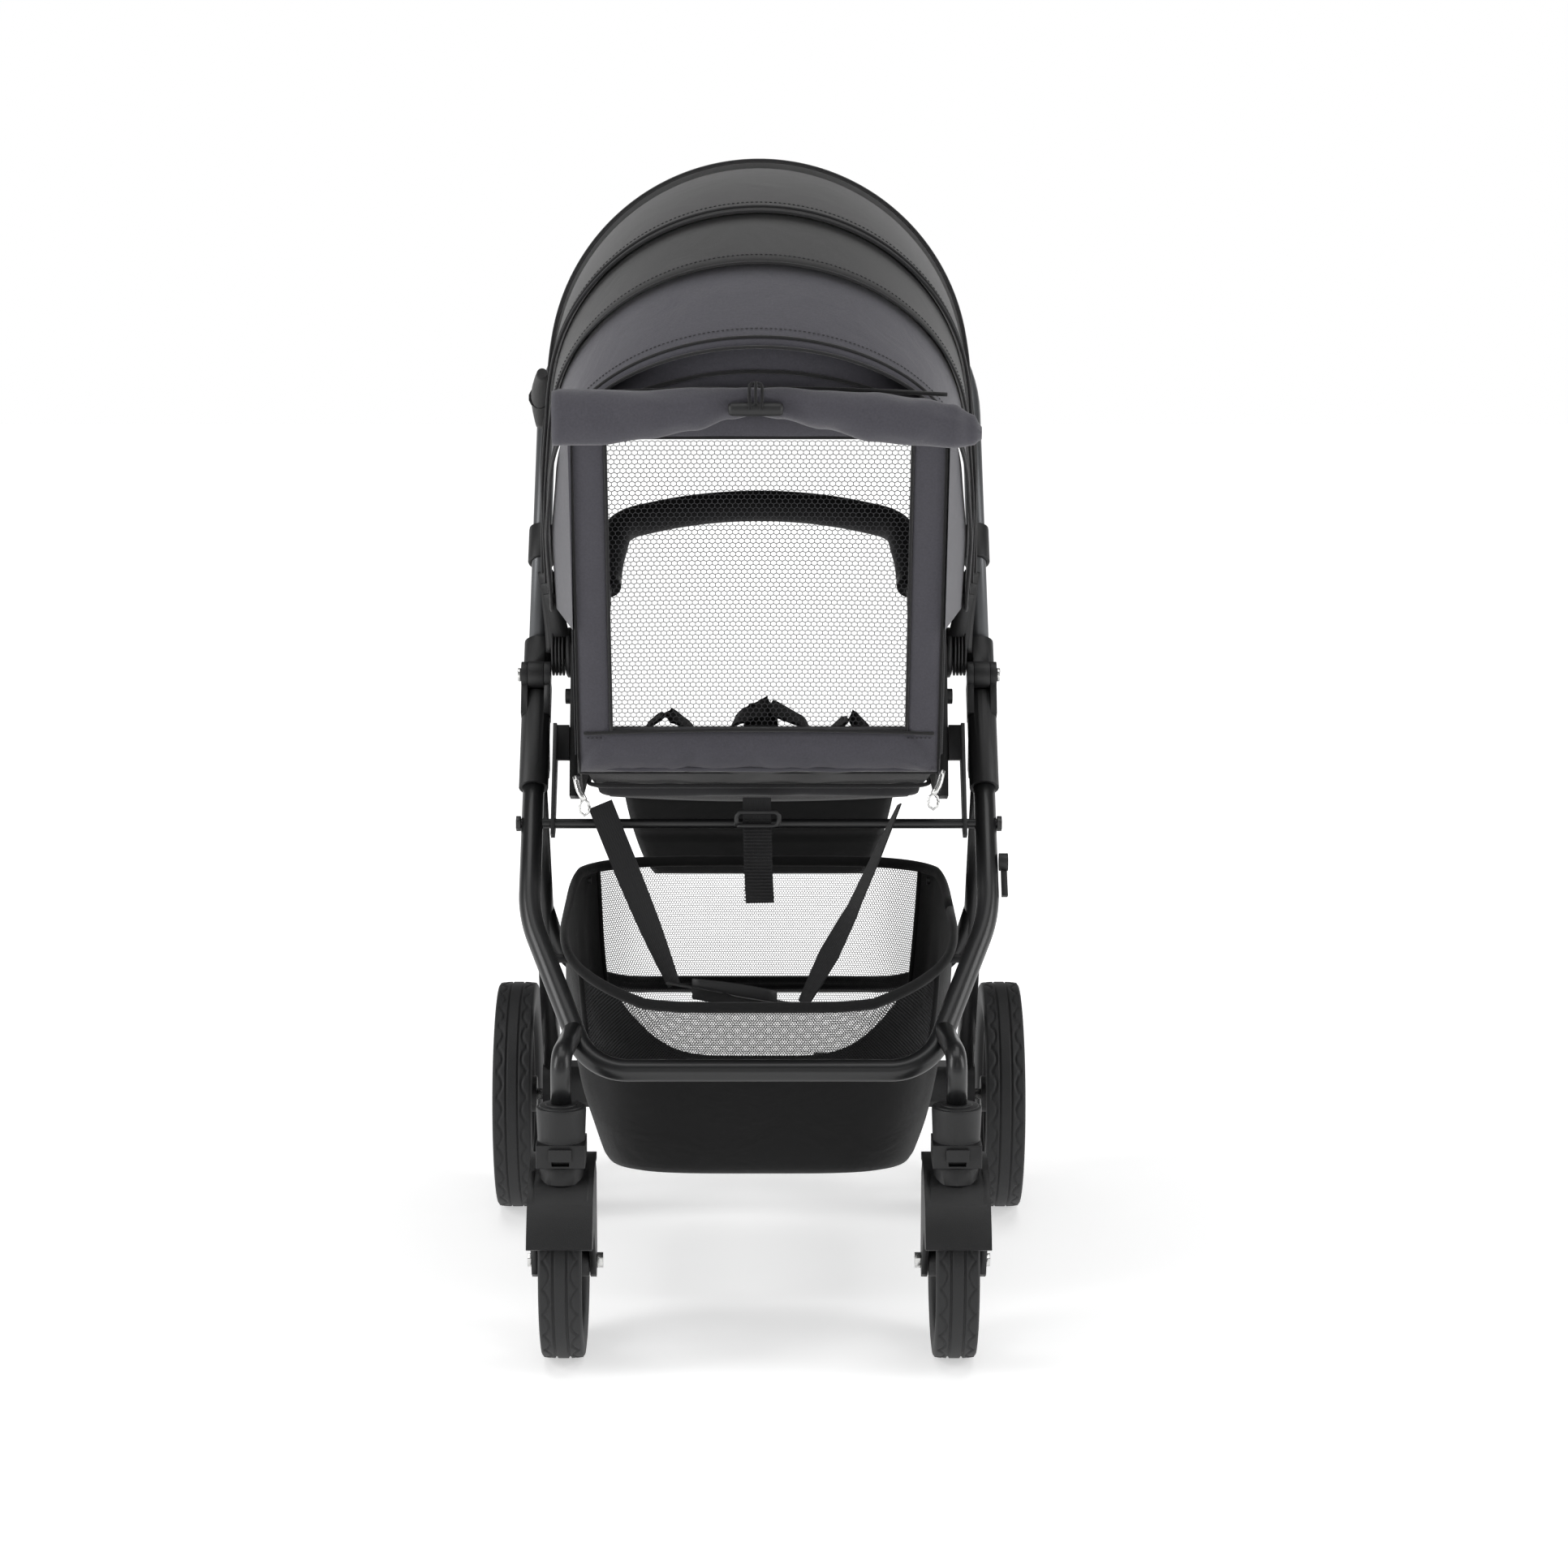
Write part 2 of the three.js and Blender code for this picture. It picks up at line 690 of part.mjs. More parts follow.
// ---- seat ---------------------------------------------------------------
function seatFrame() {
  const side = plate(
    [
      [SEAT.back + 40, 529],
      [SEAT.front - 12, 529],
      [SEAT.front - 12, 545],
      [352, 560],
      [348, 690],
      [342, 712],
      [322, 714],
      [296, 682],
      [276, 662],
      [262, 560],
      [SEAT.back + 40, 545],
    ],
    CABIN_HALF + 1,
    CABIN_HALF + 6,
  );
  const post = barX(CABIN_HALF + 5, 214, HUB.y, HUB.z, 7, 20);
  const bumperPin = barX(BUMPER.half + 8, CABIN_HALF + 2, BUMPER.y, BUMPER.z, 5, 16);
  const right = join(side, post, bumperPin);
  const bar = barX(-CABIN_HALF - 3, CABIN_HALF + 3, SEAT.front - 24, 518, 8, 16);
  const drop = plate(
    [
      [SEAT.front - 34, 512],
      [SEAT.front - 14, 512],
      [SEAT.front - 14, 535],
      [SEAT.front - 34, 535],
    ],
    CABIN_HALF + 1,
    CABIN_HALF + 6,
  );
  return join(right, mirrored(right), bar, drop, mirrored(drop));
}

const hubDisc = () =>
  turned([[7 + GAP, 0], [26, 0], [26, 3.5], [22, 5.3], [7 + GAP, 5.3], [7 + GAP, 0]], 32)
    .rotate([0, 90, 0])
    .translate([193.4, HUB.y, HUB.z]);

function seatPad() {
  const { back, front, low, high } = SEAT;
  return plate(
    [
      [back + 6, low],
      [front - 60, low],
      [front - 6, low],
      [front, low + 8],
      [front, high - 8],
      [front - 10, high],
      [back + 24, high],
      [back + 8, high - 10],
      [back, low + 10],
    ],
    -CABIN_HALF + 3 + GAP,
    CABIN_HALF - 3 - GAP,
  );
}

// Unit vectors in the plane of the seat back.
const backUp = v3(0, BACK_TOP.y - BACK_FOOT.y, BACK_TOP.z - BACK_FOOT.z).normalize();
const backIn = v3(0, backUp.z, -backUp.y);
const onBack = (x, z, deep = 0) => {
  const t = (z - BACK_FOOT.z) / backUp.z;
  return v3(x, BACK_FOOT.y, BACK_FOOT.z).addScaledVector(backUp, t).addScaledVector(backIn, deep);
};

// A slab in the plane of the seat back, between two heights.
function backSlab(half, low, high, deep0, deep1) {
  const corners = [onBack(0, low, deep0), onBack(0, high, deep0), onBack(0, high, deep1), onBack(0, low, deep1)];
  return plate(
    corners.map((p) => [p.y, p.z]),
    -half,
    half,
  );
}

function backrest() {
  const slab = backSlab(CABIN_HALF - 5.5, BACK_FOOT.z + 16, BACK_TOP.z - 7, 0, 9);
  return cut(slab, backSlab(WINDOW.half, WINDOW.low, WINDOW.high, -5, 14));
}

const backWindow = () => backSlab(WINDOW.half - GAP, WINDOW.low + GAP, WINDOW.high - GAP, 3, 5.5);

const sidePanel = () =>
  plate(
    [
      [SEAT.back - 8, 547],
      [150, 529],
      [318, 529],
      [318, 640],
      [262, 700],
      [60, 848],
      [onBack(0, 868).y, 868],
    ],
    CABIN_HALF - 3,
    CABIN_HALF,
  );

// Fabric flap closing the gap between the seat and the foot of the back.
const bottomFlap = () => {
  const foot = onBack(0, BACK_FOOT.z + 15);
  return plate(
    [
      [foot.y - 1, foot.z],
      [foot.y + 9, foot.z],
      [SEAT.back - 1.5, SEAT.low + 6],
      [SEAT.back + 2, SEAT.low - 1],
      [SEAT.back + 60, SEAT.low - 1],
      [SEAT.back + 60, SEAT.low - 4],
      [SEAT.back - 2, SEAT.low - 5],
      [SEAT.back - 12, SEAT.low + 8],
    ],
    9 - CABIN_HALF,
    CABIN_HALF - 9,
  );
};

// The roll stays clear of the hood's rear cloth, which leans out further on a larger hood.
const FLAP_LEAN = 0.11 * (500 - CANOPY_R);

// Rolled window cover held up by a loop and toggle.
function rolledFlap() {
  const z = 917;
  const at = (x, y, zz) => v3(x, y + FLAP_LEAN, zz);
  const points = [
    at(-190, -32, z - 6),
    at(-120, -34, z - 3),
    at(-30, -36, z + 5),
    at(10, -36, z + 7),
    at(60, -36, z),
    at(130, -34, z - 5),
    at(203, -30, z - 12),
  ];
  const roll = sweep(points, circle(17, 12).map(([s, u]) => [s * 0.8, u]));
  return join(roll, flapToggle());
}

// Toggle and its loop at the middle of the roll.
const flapToggle = () => box(-22, 22, -58 + FLAP_LEAN, -48 + FLAP_LEAN, 926, 936);

// Carry strap that hangs under the seat back.
const pullStrap = () =>
  cut(box(-12, 16, 120, 122.5, 424, 517), box(-8, 12, 118, 124, 505, 511));

// Two straps that run from the seat corners to one adjuster.
function recliningStraps() {
  const flat = [[-9, -1], [9, -1], [9, 1], [-9, 1]].map(([s, u]) => [u, s]);
  const left = sweep([v3(-158, 146, 518), v3(-84, 92, 348)], flat);
  const right = sweep([v3(140, 146, 518), v3(44, 92, 330)], flat);
  const adjuster = sweep([v3(-90, 92, 350), v3(48, 92, 328)], [[-2.5, -7], [2.5, -7], [2.5, 7], [-2.5, 7]]);
  return join(left, right, adjuster);
}

// ---- bumper bar ---------------------------------------------------------
function bumperBar() {
  const { y, z, half, reach, top, r } = BUMPER;
  const rise = Math.hypot(reach - 97 - y, top - z - 64); // corners to the crown of the arc
  const bend = (0.8026 * Math.hypot(half, rise) * half) / rise; // leaves room for the two corners
  const arc = path(
    [
      v3(half, y + 40, z + 30),
      v3(half, y + 105, z + 64),
      v3(0, reach + 8, top),
      v3(-half, y + 105, z + 64),
      v3(-half, y + 40, z + 30),
    ],
    [40, bend, 40],
    6,
  );
  const foam = tube(arc, r, 18);
  const arm = tube([v3(half + 12, y, z), v3(half + 2, y + 46, z + 33)], 7, 12);
  const eye = barX(half + 7, half + 18, y, z, 12, 20);
  const bore = barX(half - 10, half + 30, y, z, 5 + GAP, 16);
  const right = cut(join(arm, eye), bore);
  return join(foam, right, mirrored(right));
}

// ---- legrest ------------------------------------------------------------
const LEG_HINGE = { y: SEAT.front + 6, z: 536 };
function legrest() {
  const board = plate(
    [
      [LEG_HINGE.y, LEG_HINGE.z - 4],
      [LEG_HINGE.y + 8, LEG_HINGE.z + 3],
      [528, 378],
      [516, 372],
    ],
    -150,
    150,
  );
  const barrel = barX(-150, 150, LEG_HINGE.y + 2, LEG_HINGE.z, 5, 14);
  return join(board, barrel);
}

// ---- canopy -------------------------------------------------------------
// Points of one hoop: an arch over straight legs, in the plane leaning forward by phi.
function hoop(phi, half, reach, foot, count = 18) {
  const a = (phi * Math.PI) / 180;
  const at = (x, h) => v3(x, HUB.y - h * Math.sin(a), HUB.z + h * Math.cos(a));
  const made = [at(half, foot)];
  const rise = reach - half;
  made.push(at(half, foot + (rise - foot) / 2));
  for (let k = 0; k <= count; k++) {
    const t = (Math.PI * k) / count;
    made.push(at(half * Math.cos(t), rise + half * Math.sin(t)));
  }
  made.push(at(-half, foot + (rise - foot) / 2));
  made.push(at(-half, foot));
  return made;
}

// One canopy panel between two hoops, with its arms and pivot rings.
function canopyPanel(from, to, layer) {
  const reach = CANOPY_R - 7 * layer;
  const half = CANOPY_HALF - 3.5 * layer;
  const steps = Math.max(1, Math.round(Math.abs(to - from) / 12));
  const outer = [];
  const inner = [];
  for (let k = 0; k <= steps; k++) {
    const phi = from + ((to - from) * k) / steps;
    outer.push(hoop(phi, half, reach, CANOPY_FOOT));
    inner.push(hoop(phi, half - SKIN, reach - SKIN, CANOPY_FOOT));
  }
  const cover = skin(outer, inner);
  const ring = turned([[7 + GAP, 0], [24, 0], [24, SKIN], [7 + GAP, SKIN], [7 + GAP, 0]], 28)
    .rotate([0, 90, 0])
    .translate([half - SKIN, HUB.y, HUB.z]);
  const middle = (((from + to) / 2) * Math.PI) / 180;
  const arm = box(half - SKIN, half, HUB.y - 9, HUB.y + 9, HUB.z + 20, HUB.z + CANOPY_FOOT + 12);
  const turnedArm = arm
    .translate([0, -HUB.y, -HUB.z])
    .rotate([(middle * 180) / Math.PI, 0, 0])
    .translate([0, HUB.y, HUB.z]);
  const right = join(ring, turnedArm);
  return join(cover, right, mirrored(right));
}

// Fixed fabric from the rear hoop down to the edges of the seat back.
function canopyRear() {
  const reach = CANOPY_R - 28;
  const half = CANOPY_HALF - 14;
  const outerTop = hoop(47.2, half, reach, CANOPY_FOOT);
  const innerTop = hoop(47.2, half - SKIN, reach - SKIN, CANOPY_FOOT);
  const edge = (w, deep) => {
    const made = [];
    const n = outerTop.length;
    for (let j = 0; j < n; j++) {
      const t = j / (n - 1);
      const s = Math.min(1, Math.max(-1, (1 - 2 * t) * 1.75));
      const drop = Math.max(0, Math.abs(1 - 2 * t) - 1 / 1.75) / (1 - 1 / 1.75);
      const lap = 26 * (1 - s * s); // the middle of the edge laps the top of the seat back
      made.push(onBack(w * s, BACK_TOP.z + 12 - lap - 215 * drop, deep));
    }
    return made;
  };
  const outerLow = edge(CABIN_HALF + 5, -SKIN - GAP);
  const innerLow = edge(CABIN_HALF + 5 - SKIN, -GAP);
  return skin([outerTop, outerLow], [innerTop, innerLow]);
}

// ---- basket -------------------------------------------------------------
function basket() {
  const corners = (grow) => {
    const g = grow;
    return [
      v3(176 - g, BASKET.front + g, 338),
      v3(120 - g, BASKET.front - 14 + g, 330),
      v3(198 - g, 190, 362),
      v3(199 - g, BASKET.back - 14 - g, 404),
      v3(188 - g, BASKET.back - g, 408),
      v3(150 - g, 120 + g, BASKET.bottom + 14 + g),
      v3(110 - g, 104 + g, BASKET.bottom + g),
      v3(165 - g, 250, BASKET.bottom + 10 + g),
      v3(110 - g, 412 - g, BASKET.bottom + g),
      v3(150 - g, 424 - g, BASKET.bottom + 14 + g),
    ];
  };
  const both = (list) => [...list, ...list.map((p) => v3(-p.x, p.y, p.z))];
  const hull = (list) => Manifold.hull(both(list).map((p) => [p.x, p.y, p.z]));
  const inside = corners(BASKET.wall);
  const mouth = inside.slice(0, 5).map((p) => v3(p.x * 1.02, p.y - 4, p.z + 30));
  return cut(hull(corners(0)), hull([...inside, ...mouth]));
}

// ---- storage latch ------------------------------------------------------
function storageLatch() {
  const x0 = FRAME_HALF + TUBE_R + 1;
  const barrel = barX(x0, x0 + 9, 165, 459, 9, 20);
  const lever = plate(
    [
      [160, 452],
      [170, 452],
      [150, 426],
      [140, 430],
    ],
    x0 + 2,
    x0 + 8,
  );
  return join(barrel, lever);
}

// ---- put together -------------------------------------------------------
add("front_frame", frontFrame());
addPair("caster_socket", casterSocket());
addPair("swivel_lock", swivelLock());
addPair("caster_fork", casterFork());
addPair("front_axle", frontAxle());
addPair("front_tyre", tyre(FRONT_WHEEL));
addPair("front_rim", rim(FRONT_WHEEL, 16, 24.5, 4 + GAP));
addPair("fold_hinge_lower", lowerHinge());
addPair("fold_hinge_upper", upperHinge());
addPair("fold_pin", foldPin());
add("handle_tube", tube(handlePath, UPPER_TUBE_R));
add("handle_grip", handleGrip());
addPair("fold_slider", foldSlider());
add("rear_frame", rearFrame());
add("rear_axle_beam", axleBeam());
add("rear_axle", rearAxle());
add("brake_pedal", brakePedal());
addPair("rear_tyre", tyre(REAR_WHEEL));
addPair("rear_rim", rim(REAR_WHEEL, 20, 20.5, 6 + GAP));
add("cross_rod", crossRod());
addPair("seat_receiver", seatReceiver());
addPair("seat_upright", seatUpright());
addPair("seat_button", releaseButton());
add("storage_latch", storageLatch());
add("seat_frame", seatFrame());
addPair("seat_hub", hubDisc());
add("seat_pad", seatPad());
add("backrest", backrest());
add("back_window", backWindow());
addPair("cabin_side", sidePanel());
add("bottom_flap", bottomFlap());
add("rolled_flap", rolledFlap());
add("pull_strap", pullStrap());
add("recline_straps", recliningStraps());
add("bumper_bar", bumperBar());
add("legrest", legrest());
add("canopy_rear", canopyRear());
add("canopy_fixed", canopyPanel(46, 31, 3));
add("canopy_mid", canopyPanel(33, 21, 2));
add("canopy_top", canopyPanel(23, -2, 1));
add("canopy_visor", canopyPanel(0, -38, 0));
add("basket", basket());

const outline = new THREE.Box3().setFromObject(stroller);
stroller.position.set(0, -(outline.min.y + outline.max.y) / 2, -outline.min.z);

export default stroller;
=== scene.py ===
# Pet stroller: the finished look of every piece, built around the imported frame.
# The sections follow the stroller as it is put together: set, frame, wheels, foam, seat,
# window, straps, legrest, hood, basket. Lengths are metres; x is across, y runs to the handle.
import math

import bmesh
import bpy
import numpy as np
from mathutils import Matrix, Vector, noise


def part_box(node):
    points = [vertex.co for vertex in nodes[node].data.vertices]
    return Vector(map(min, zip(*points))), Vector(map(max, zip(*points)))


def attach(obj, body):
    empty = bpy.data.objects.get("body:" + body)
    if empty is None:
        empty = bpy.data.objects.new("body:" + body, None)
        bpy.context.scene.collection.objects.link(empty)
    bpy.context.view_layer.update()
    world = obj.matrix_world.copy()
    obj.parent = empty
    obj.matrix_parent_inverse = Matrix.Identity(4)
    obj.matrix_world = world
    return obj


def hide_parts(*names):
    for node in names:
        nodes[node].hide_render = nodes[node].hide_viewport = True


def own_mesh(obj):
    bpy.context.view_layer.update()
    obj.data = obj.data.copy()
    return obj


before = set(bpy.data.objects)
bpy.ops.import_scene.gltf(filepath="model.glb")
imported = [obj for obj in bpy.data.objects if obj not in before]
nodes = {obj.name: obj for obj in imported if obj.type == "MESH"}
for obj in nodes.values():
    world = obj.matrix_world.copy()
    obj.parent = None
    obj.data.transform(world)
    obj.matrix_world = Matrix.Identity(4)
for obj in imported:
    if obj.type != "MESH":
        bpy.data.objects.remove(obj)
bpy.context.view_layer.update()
AXLE_Y = (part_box("front_tyre_r")[0].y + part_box("front_tyre_r")[1].y) / 2


def at(x, rear, up):
    """A point from millimetres: across, behind the front wheel axle, above the floor."""
    return Vector((x / 1000, AXLE_Y + rear / 1000, up / 1000))


# ---- Studio: camera, floor and light ------------------------------------
# A long lens stands well ahead of the swivel wheels and looks slightly down at the seat
# back. The floor is a pale sweep under large soft lamps.
VIEW_DISTANCE = 3504
VIEW_HEIGHT = 1169
VIEW_PITCH = 9.75
camera = bpy.data.objects.new("camera", bpy.data.cameras.new("camera"))
bpy.context.scene.collection.objects.link(camera)
camera.location = at(0, -VIEW_DISTANCE, VIEW_HEIGHT)
camera.rotation_euler = (math.radians(90 - VIEW_PITCH), 0, 0)
camera.data.lens = 85.4
camera.data.sensor_width = 36
camera.data.shift_x = 0.016
bpy.context.scene.camera = camera

floor_mesh = bpy.data.meshes.new("studio_floor")
reach = 12
floor_mesh.from_pydata(
    [(-reach, -reach, 0), (reach, -reach, 0), (reach, reach, 0), (-reach, reach, 0)], [], [(0, 1, 2, 3)]
)
studio_floor = bpy.data.objects.new("studio_floor", floor_mesh)
bpy.context.scene.collection.objects.link(studio_floor)
floor_paint = bpy.data.materials.new("pale_floor")
floor_paint.use_nodes = True
floor_paint.node_tree.nodes["Principled BSDF"].inputs["Base Color"].default_value = (0.85, 0.85, 0.85, 1)
floor_paint.node_tree.nodes["Principled BSDF"].inputs["Roughness"].default_value = 0.9
floor_nodes, floor_links = floor_paint.node_tree.nodes, floor_paint.node_tree.links
floor_place = floor_nodes.new("ShaderNodeTexCoord")
floor_reach = floor_nodes.new("ShaderNodeVectorMath")
floor_reach.operation = "LENGTH"
floor_links.new(floor_place.outputs["Object"], floor_reach.inputs[0])
floor_glow = floor_nodes.new("ShaderNodeMapRange")
floor_glow.inputs["From Min"].default_value = 0.7
floor_glow.inputs["From Max"].default_value = 2.2
floor_glow.inputs["To Min"].default_value = 0.5
floor_glow.inputs["To Max"].default_value = 1.0
floor_links.new(floor_reach.outputs["Value"], floor_glow.inputs["Value"])
floor_links.new(floor_glow.outputs["Result"], floor_nodes["Principled BSDF"].inputs["Emission Strength"])
floor_nodes["Principled BSDF"].inputs["Emission Color"].default_value = (1, 1, 1, 1)
floor_mesh.materials.append(floor_paint)

# The surround is white round the horizon, where it is the backdrop, and dim overhead.
world = bpy.data.worlds.new("studio")
world.use_nodes = True
sky, sky_links = world.node_tree.nodes, world.node_tree.links
sky["Background"].inputs["Color"].default_value = (1, 1, 1, 1)
sky_place = sky.new("ShaderNodeTexCoord")
sky_split = sky.new("ShaderNodeSeparateXYZ")
sky_links.new(sky_place.outputs["Generated"], sky_split.inputs[0])
sky_band = sky.new("ShaderNodeMapRange")
sky_band.interpolation_type = "SMOOTHSTEP"
for label, value in (("From Min", 0.12), ("From Max", 0.4), ("To Min", 1.0), ("To Max", 0.15)):
    sky_band.inputs[label].default_value = value
sky_links.new(sky_split.outputs["Z"], sky_band.inputs["Value"])
sky_side = sky.new("ShaderNodeMapRange")
sky_side.interpolation_type = "SMOOTHSTEP"
for label, value in (("From Min", 0.1), ("From Max", 0.85), ("To Min", 0.5), ("To Max", 1.0)):
    sky_side.inputs[label].default_value = value
sky_links.new(sky_split.outputs["Y"], sky_side.inputs["Value"])
sky_level = sky.new("ShaderNodeMath")
sky_level.operation = "MULTIPLY"
sky_links.new(sky_band.outputs["Result"], sky_level.inputs[0])
sky_links.new(sky_side.outputs["Result"], sky_level.inputs[1])
sky_links.new(sky_level.outputs[0], sky["Background"].inputs["Strength"])
bpy.context.scene.world = world
bpy.context.scene.view_settings.view_transform = "Standard"


def softbox(name, place, aim, size, power):
    lamp = bpy.data.lights.new(name, "AREA")
    lamp.shape = "RECTANGLE"
    lamp.size, lamp.size_y = size
    lamp.energy = power
    made = bpy.data.objects.new(name, lamp)
    made.location = place
    made.rotation_euler = (Vector(aim) - Vector(place)).to_track_quat("-Z", "Y").to_euler()
    bpy.context.scene.collection.objects.link(made)


softbox("top_softbox", (0, -0.3, 3.4), (0, 0, 0.5), (3.2, 2.8), 56)
softbox("left_softbox", (-2.9, -1.3, 1.8), (0, 0, 0.7), (1.2, 2.2), 52)
softbox("right_softbox", (2.9, -1.0, 1.7), (0, 0, 0.7), (1.2, 2.2), 38)
softbox("front_fill", (0.4, -4.2, 2.4), (0, 0, 0.7), (2.0, 1.4), 8)


# ---- Frame tubes --------------------------------------------------------
# Drawn aluminium tube, bent cold and powder coated satin black below the hinge; the
# handle tube above it is a satin grey. Welded joints are hidden inside the mouldings.
def link(name, mesh):
    made = bpy.data.objects.new(name, mesh)
    bpy.context.scene.collection.objects.link(made)
    return made


def lay_grid(name, rows, loop=False, close_ends=False, around=False):
    """A mesh over rows of points, with a UV map measured in metres along both ways."""
    if around:
        rows = rows + [rows[0]]
    count = len(rows[0])
    points = [p for row in rows for p in row]
    mesh = bpy.data.meshes.new(name)
    faces = []
    wrap = count if loop else count - 1
    for i in range(len(rows) - 1):
        for j in range(wrap):
            k = (j + 1) % count
            faces.append((i * count + j, i * count + k, (i + 1) * count + k, (i + 1) * count + j))
    caps = 0
    if close_ends:
        faces.append(tuple(range(count))[::-1])
        faces.append(tuple((len(rows) - 1) * count + j for j in range(count)))
        caps = 2
    mesh.from_pydata([tuple(p) for p in points], [], faces)
    along = [0.0]
    middle = count // 2
    for i in range(1, len(rows)):
        along.append(along[-1] + (Vector(rows[i][middle]) - Vector(rows[i - 1][middle])).length)
    half = rows[len(rows) // 2]
    across = [0.0]
    for j in range(1, count + 1):
        across.append(across[-1] + (Vector(half[j % count]) - Vector(half[j - 1])).length)
    uv = mesh.uv_layers.new(name="UVMap")
    at_loop = 0
    for i in range(len(rows) - 1):
        for j in range(wrap):
            for a, b in ((j, i), (j + 1, i), (j + 1, i + 1), (j, i + 1)):
                uv.data[at_loop].uv = (across[a], along[b])
                at_loop += 1
    for _ in range(caps):
        for j in range(count):
            uv.data[at_loop].uv = (0.01 * math.cos(j), 0.01 * math.sin(j))
            at_loop += 1
    for polygon in mesh.polygons:
        polygon.use_smooth = len(polygon.vertices) == 4
    if around:
        seam = bmesh.new()
        seam.from_mesh(mesh)
        bmesh.ops.remove_doubles(seam, verts=seam.verts, dist=1e-6)
        seam.to_mesh(mesh)
        seam.free()
    return mesh


def rounded(corners, bends, steps=10):
    """The line through the corners with each inner corner bent to its radius."""
    line = [corners[0].copy()]
    for i in range(1, len(corners) - 1):
        before = (corners[i - 1] - corners[i]).normalized()
        after = (corners[i + 1] - corners[i]).normalized()
        angle = before.angle(after)
        bend = bends[i - 1] / 1000
        start = corners[i] + before * (bend / math.tan(angle / 2))
        finish = corners[i] + after * (bend / math.tan(angle / 2))
        centre = corners[i] + (before + after).normalized() * (bend / math.sin(angle / 2))
        axis = (start - centre).cross(finish - centre).normalized()
        for k in range(steps + 1):
            turn = Matrix.Rotation((math.pi - angle) * k / steps, 3, axis)
            line.append(centre + turn @ (start - centre))
    line.append(corners[-1].copy())
    return line


def section_rows(line, section):
    """The section, as (side, up) pairs in metres, carried along the line without twist."""
    rows = []
    normal = None
    for i, here in enumerate(line):
        a = (here - line[i - 1]).normalized() if i else None
        b = (line[i + 1] - here).normalized() if i < len(line) - 1 else None
        tangent = ((a + b) if a and b else (a or b)).normalized()
        if normal is None:
            helper = Vector((1, 0, 0)) if abs(tangent.x) < 0.9 else Vector((0, 0, 1))
            normal = helper.cross(tangent).normalized()
        normal = (normal - tangent * normal.dot(tangent)).normalized()
        side = tangent.cross(normal)
        shape = section(i / (len(line) - 1)) if callable(section) else section
        rows.append([here + side * s + normal * u for s, u in shape])
    return rows


def ring(r, sides=28):
    return [
        (r * math.cos(2 * math.pi * k / sides), r * math.sin(2 * math.pi * k / sides)) for k in range(sides)
    ]


def bent_tube(name, line, r, sides=28):
    return link(name, lay_grid(name, section_rows(line, ring(r / 1000, sides)), True, True))


def new_material(name):
    made = bpy.data.materials.new(name)
    made.use_nodes = True
    return made, made.node_tree.nodes, made.node_tree.links, made.node_tree.nodes["Principled BSDF"]


def grain_group():
    """Fine surface grain on Object coordinates: a colour factor, a roughness and a height."""
    tree = bpy.data.node_groups.new("surface_grain", "ShaderNodeTree")
    for label, value in (("Scale", 900.0), ("Roughness", 0.5), ("Spread", 0.1)):
        socket = tree.interface.new_socket(name=label, in_out="INPUT", socket_type="NodeSocketFloat")
        socket.default_value = value
    for label in ("Shade", "Roughness", "Height"):
        tree.interface.new_socket(name=label, in_out="OUTPUT", socket_type="NodeSocketFloat")
    n, l = tree.nodes, tree.links
    inlet, outlet = n.new("NodeGroupInput"), n.new("NodeGroupOutput")
    place = n.new("ShaderNodeTexCoord")
    fine = n.new("ShaderNodeTexNoise")
    fine.inputs["Detail"].default_value = 3
    l.new(place.outputs["Object"], fine.inputs["Vector"])
    l.new(inlet.outputs["Scale"], fine.inputs["Scale"])
    broad = n.new("ShaderNodeTexNoise")
    broad.inputs["Scale"].default_value = 14
    broad.inputs["Detail"].default_value = 4
    l.new(place.outputs["Object"], broad.inputs["Vector"])
    shade = n.new("ShaderNodeMapRange")
    shade.inputs["To Min"].default_value = 0.82
    shade.inputs["To Max"].default_value = 1.18
    l.new(broad.outputs["Fac"], shade.inputs["Value"])
    centred = n.new("ShaderNodeMath")
    centred.operation = "SUBTRACT"
    centred.inputs[1].default_value = 0.5
    l.new(broad.outputs["Fac"], centred.inputs[0])
    spread = n.new("ShaderNodeMath")
    spread.operation = "MULTIPLY_ADD"
    l.new(centred.outputs[0], spread.inputs[0])
    l.new(inlet.outputs["Spread"], spread.inputs[1])
    l.new(inlet.outputs["Roughness"], spread.inputs[2])
    l.new(shade.outputs["Result"], outlet.inputs["Shade"])
    l.new(spread.outputs[0], outlet.inputs["Roughness"])
    l.new(fine.outputs["Fac"], outlet.inputs["Height"])
    return tree


surface_grain = grain_group()


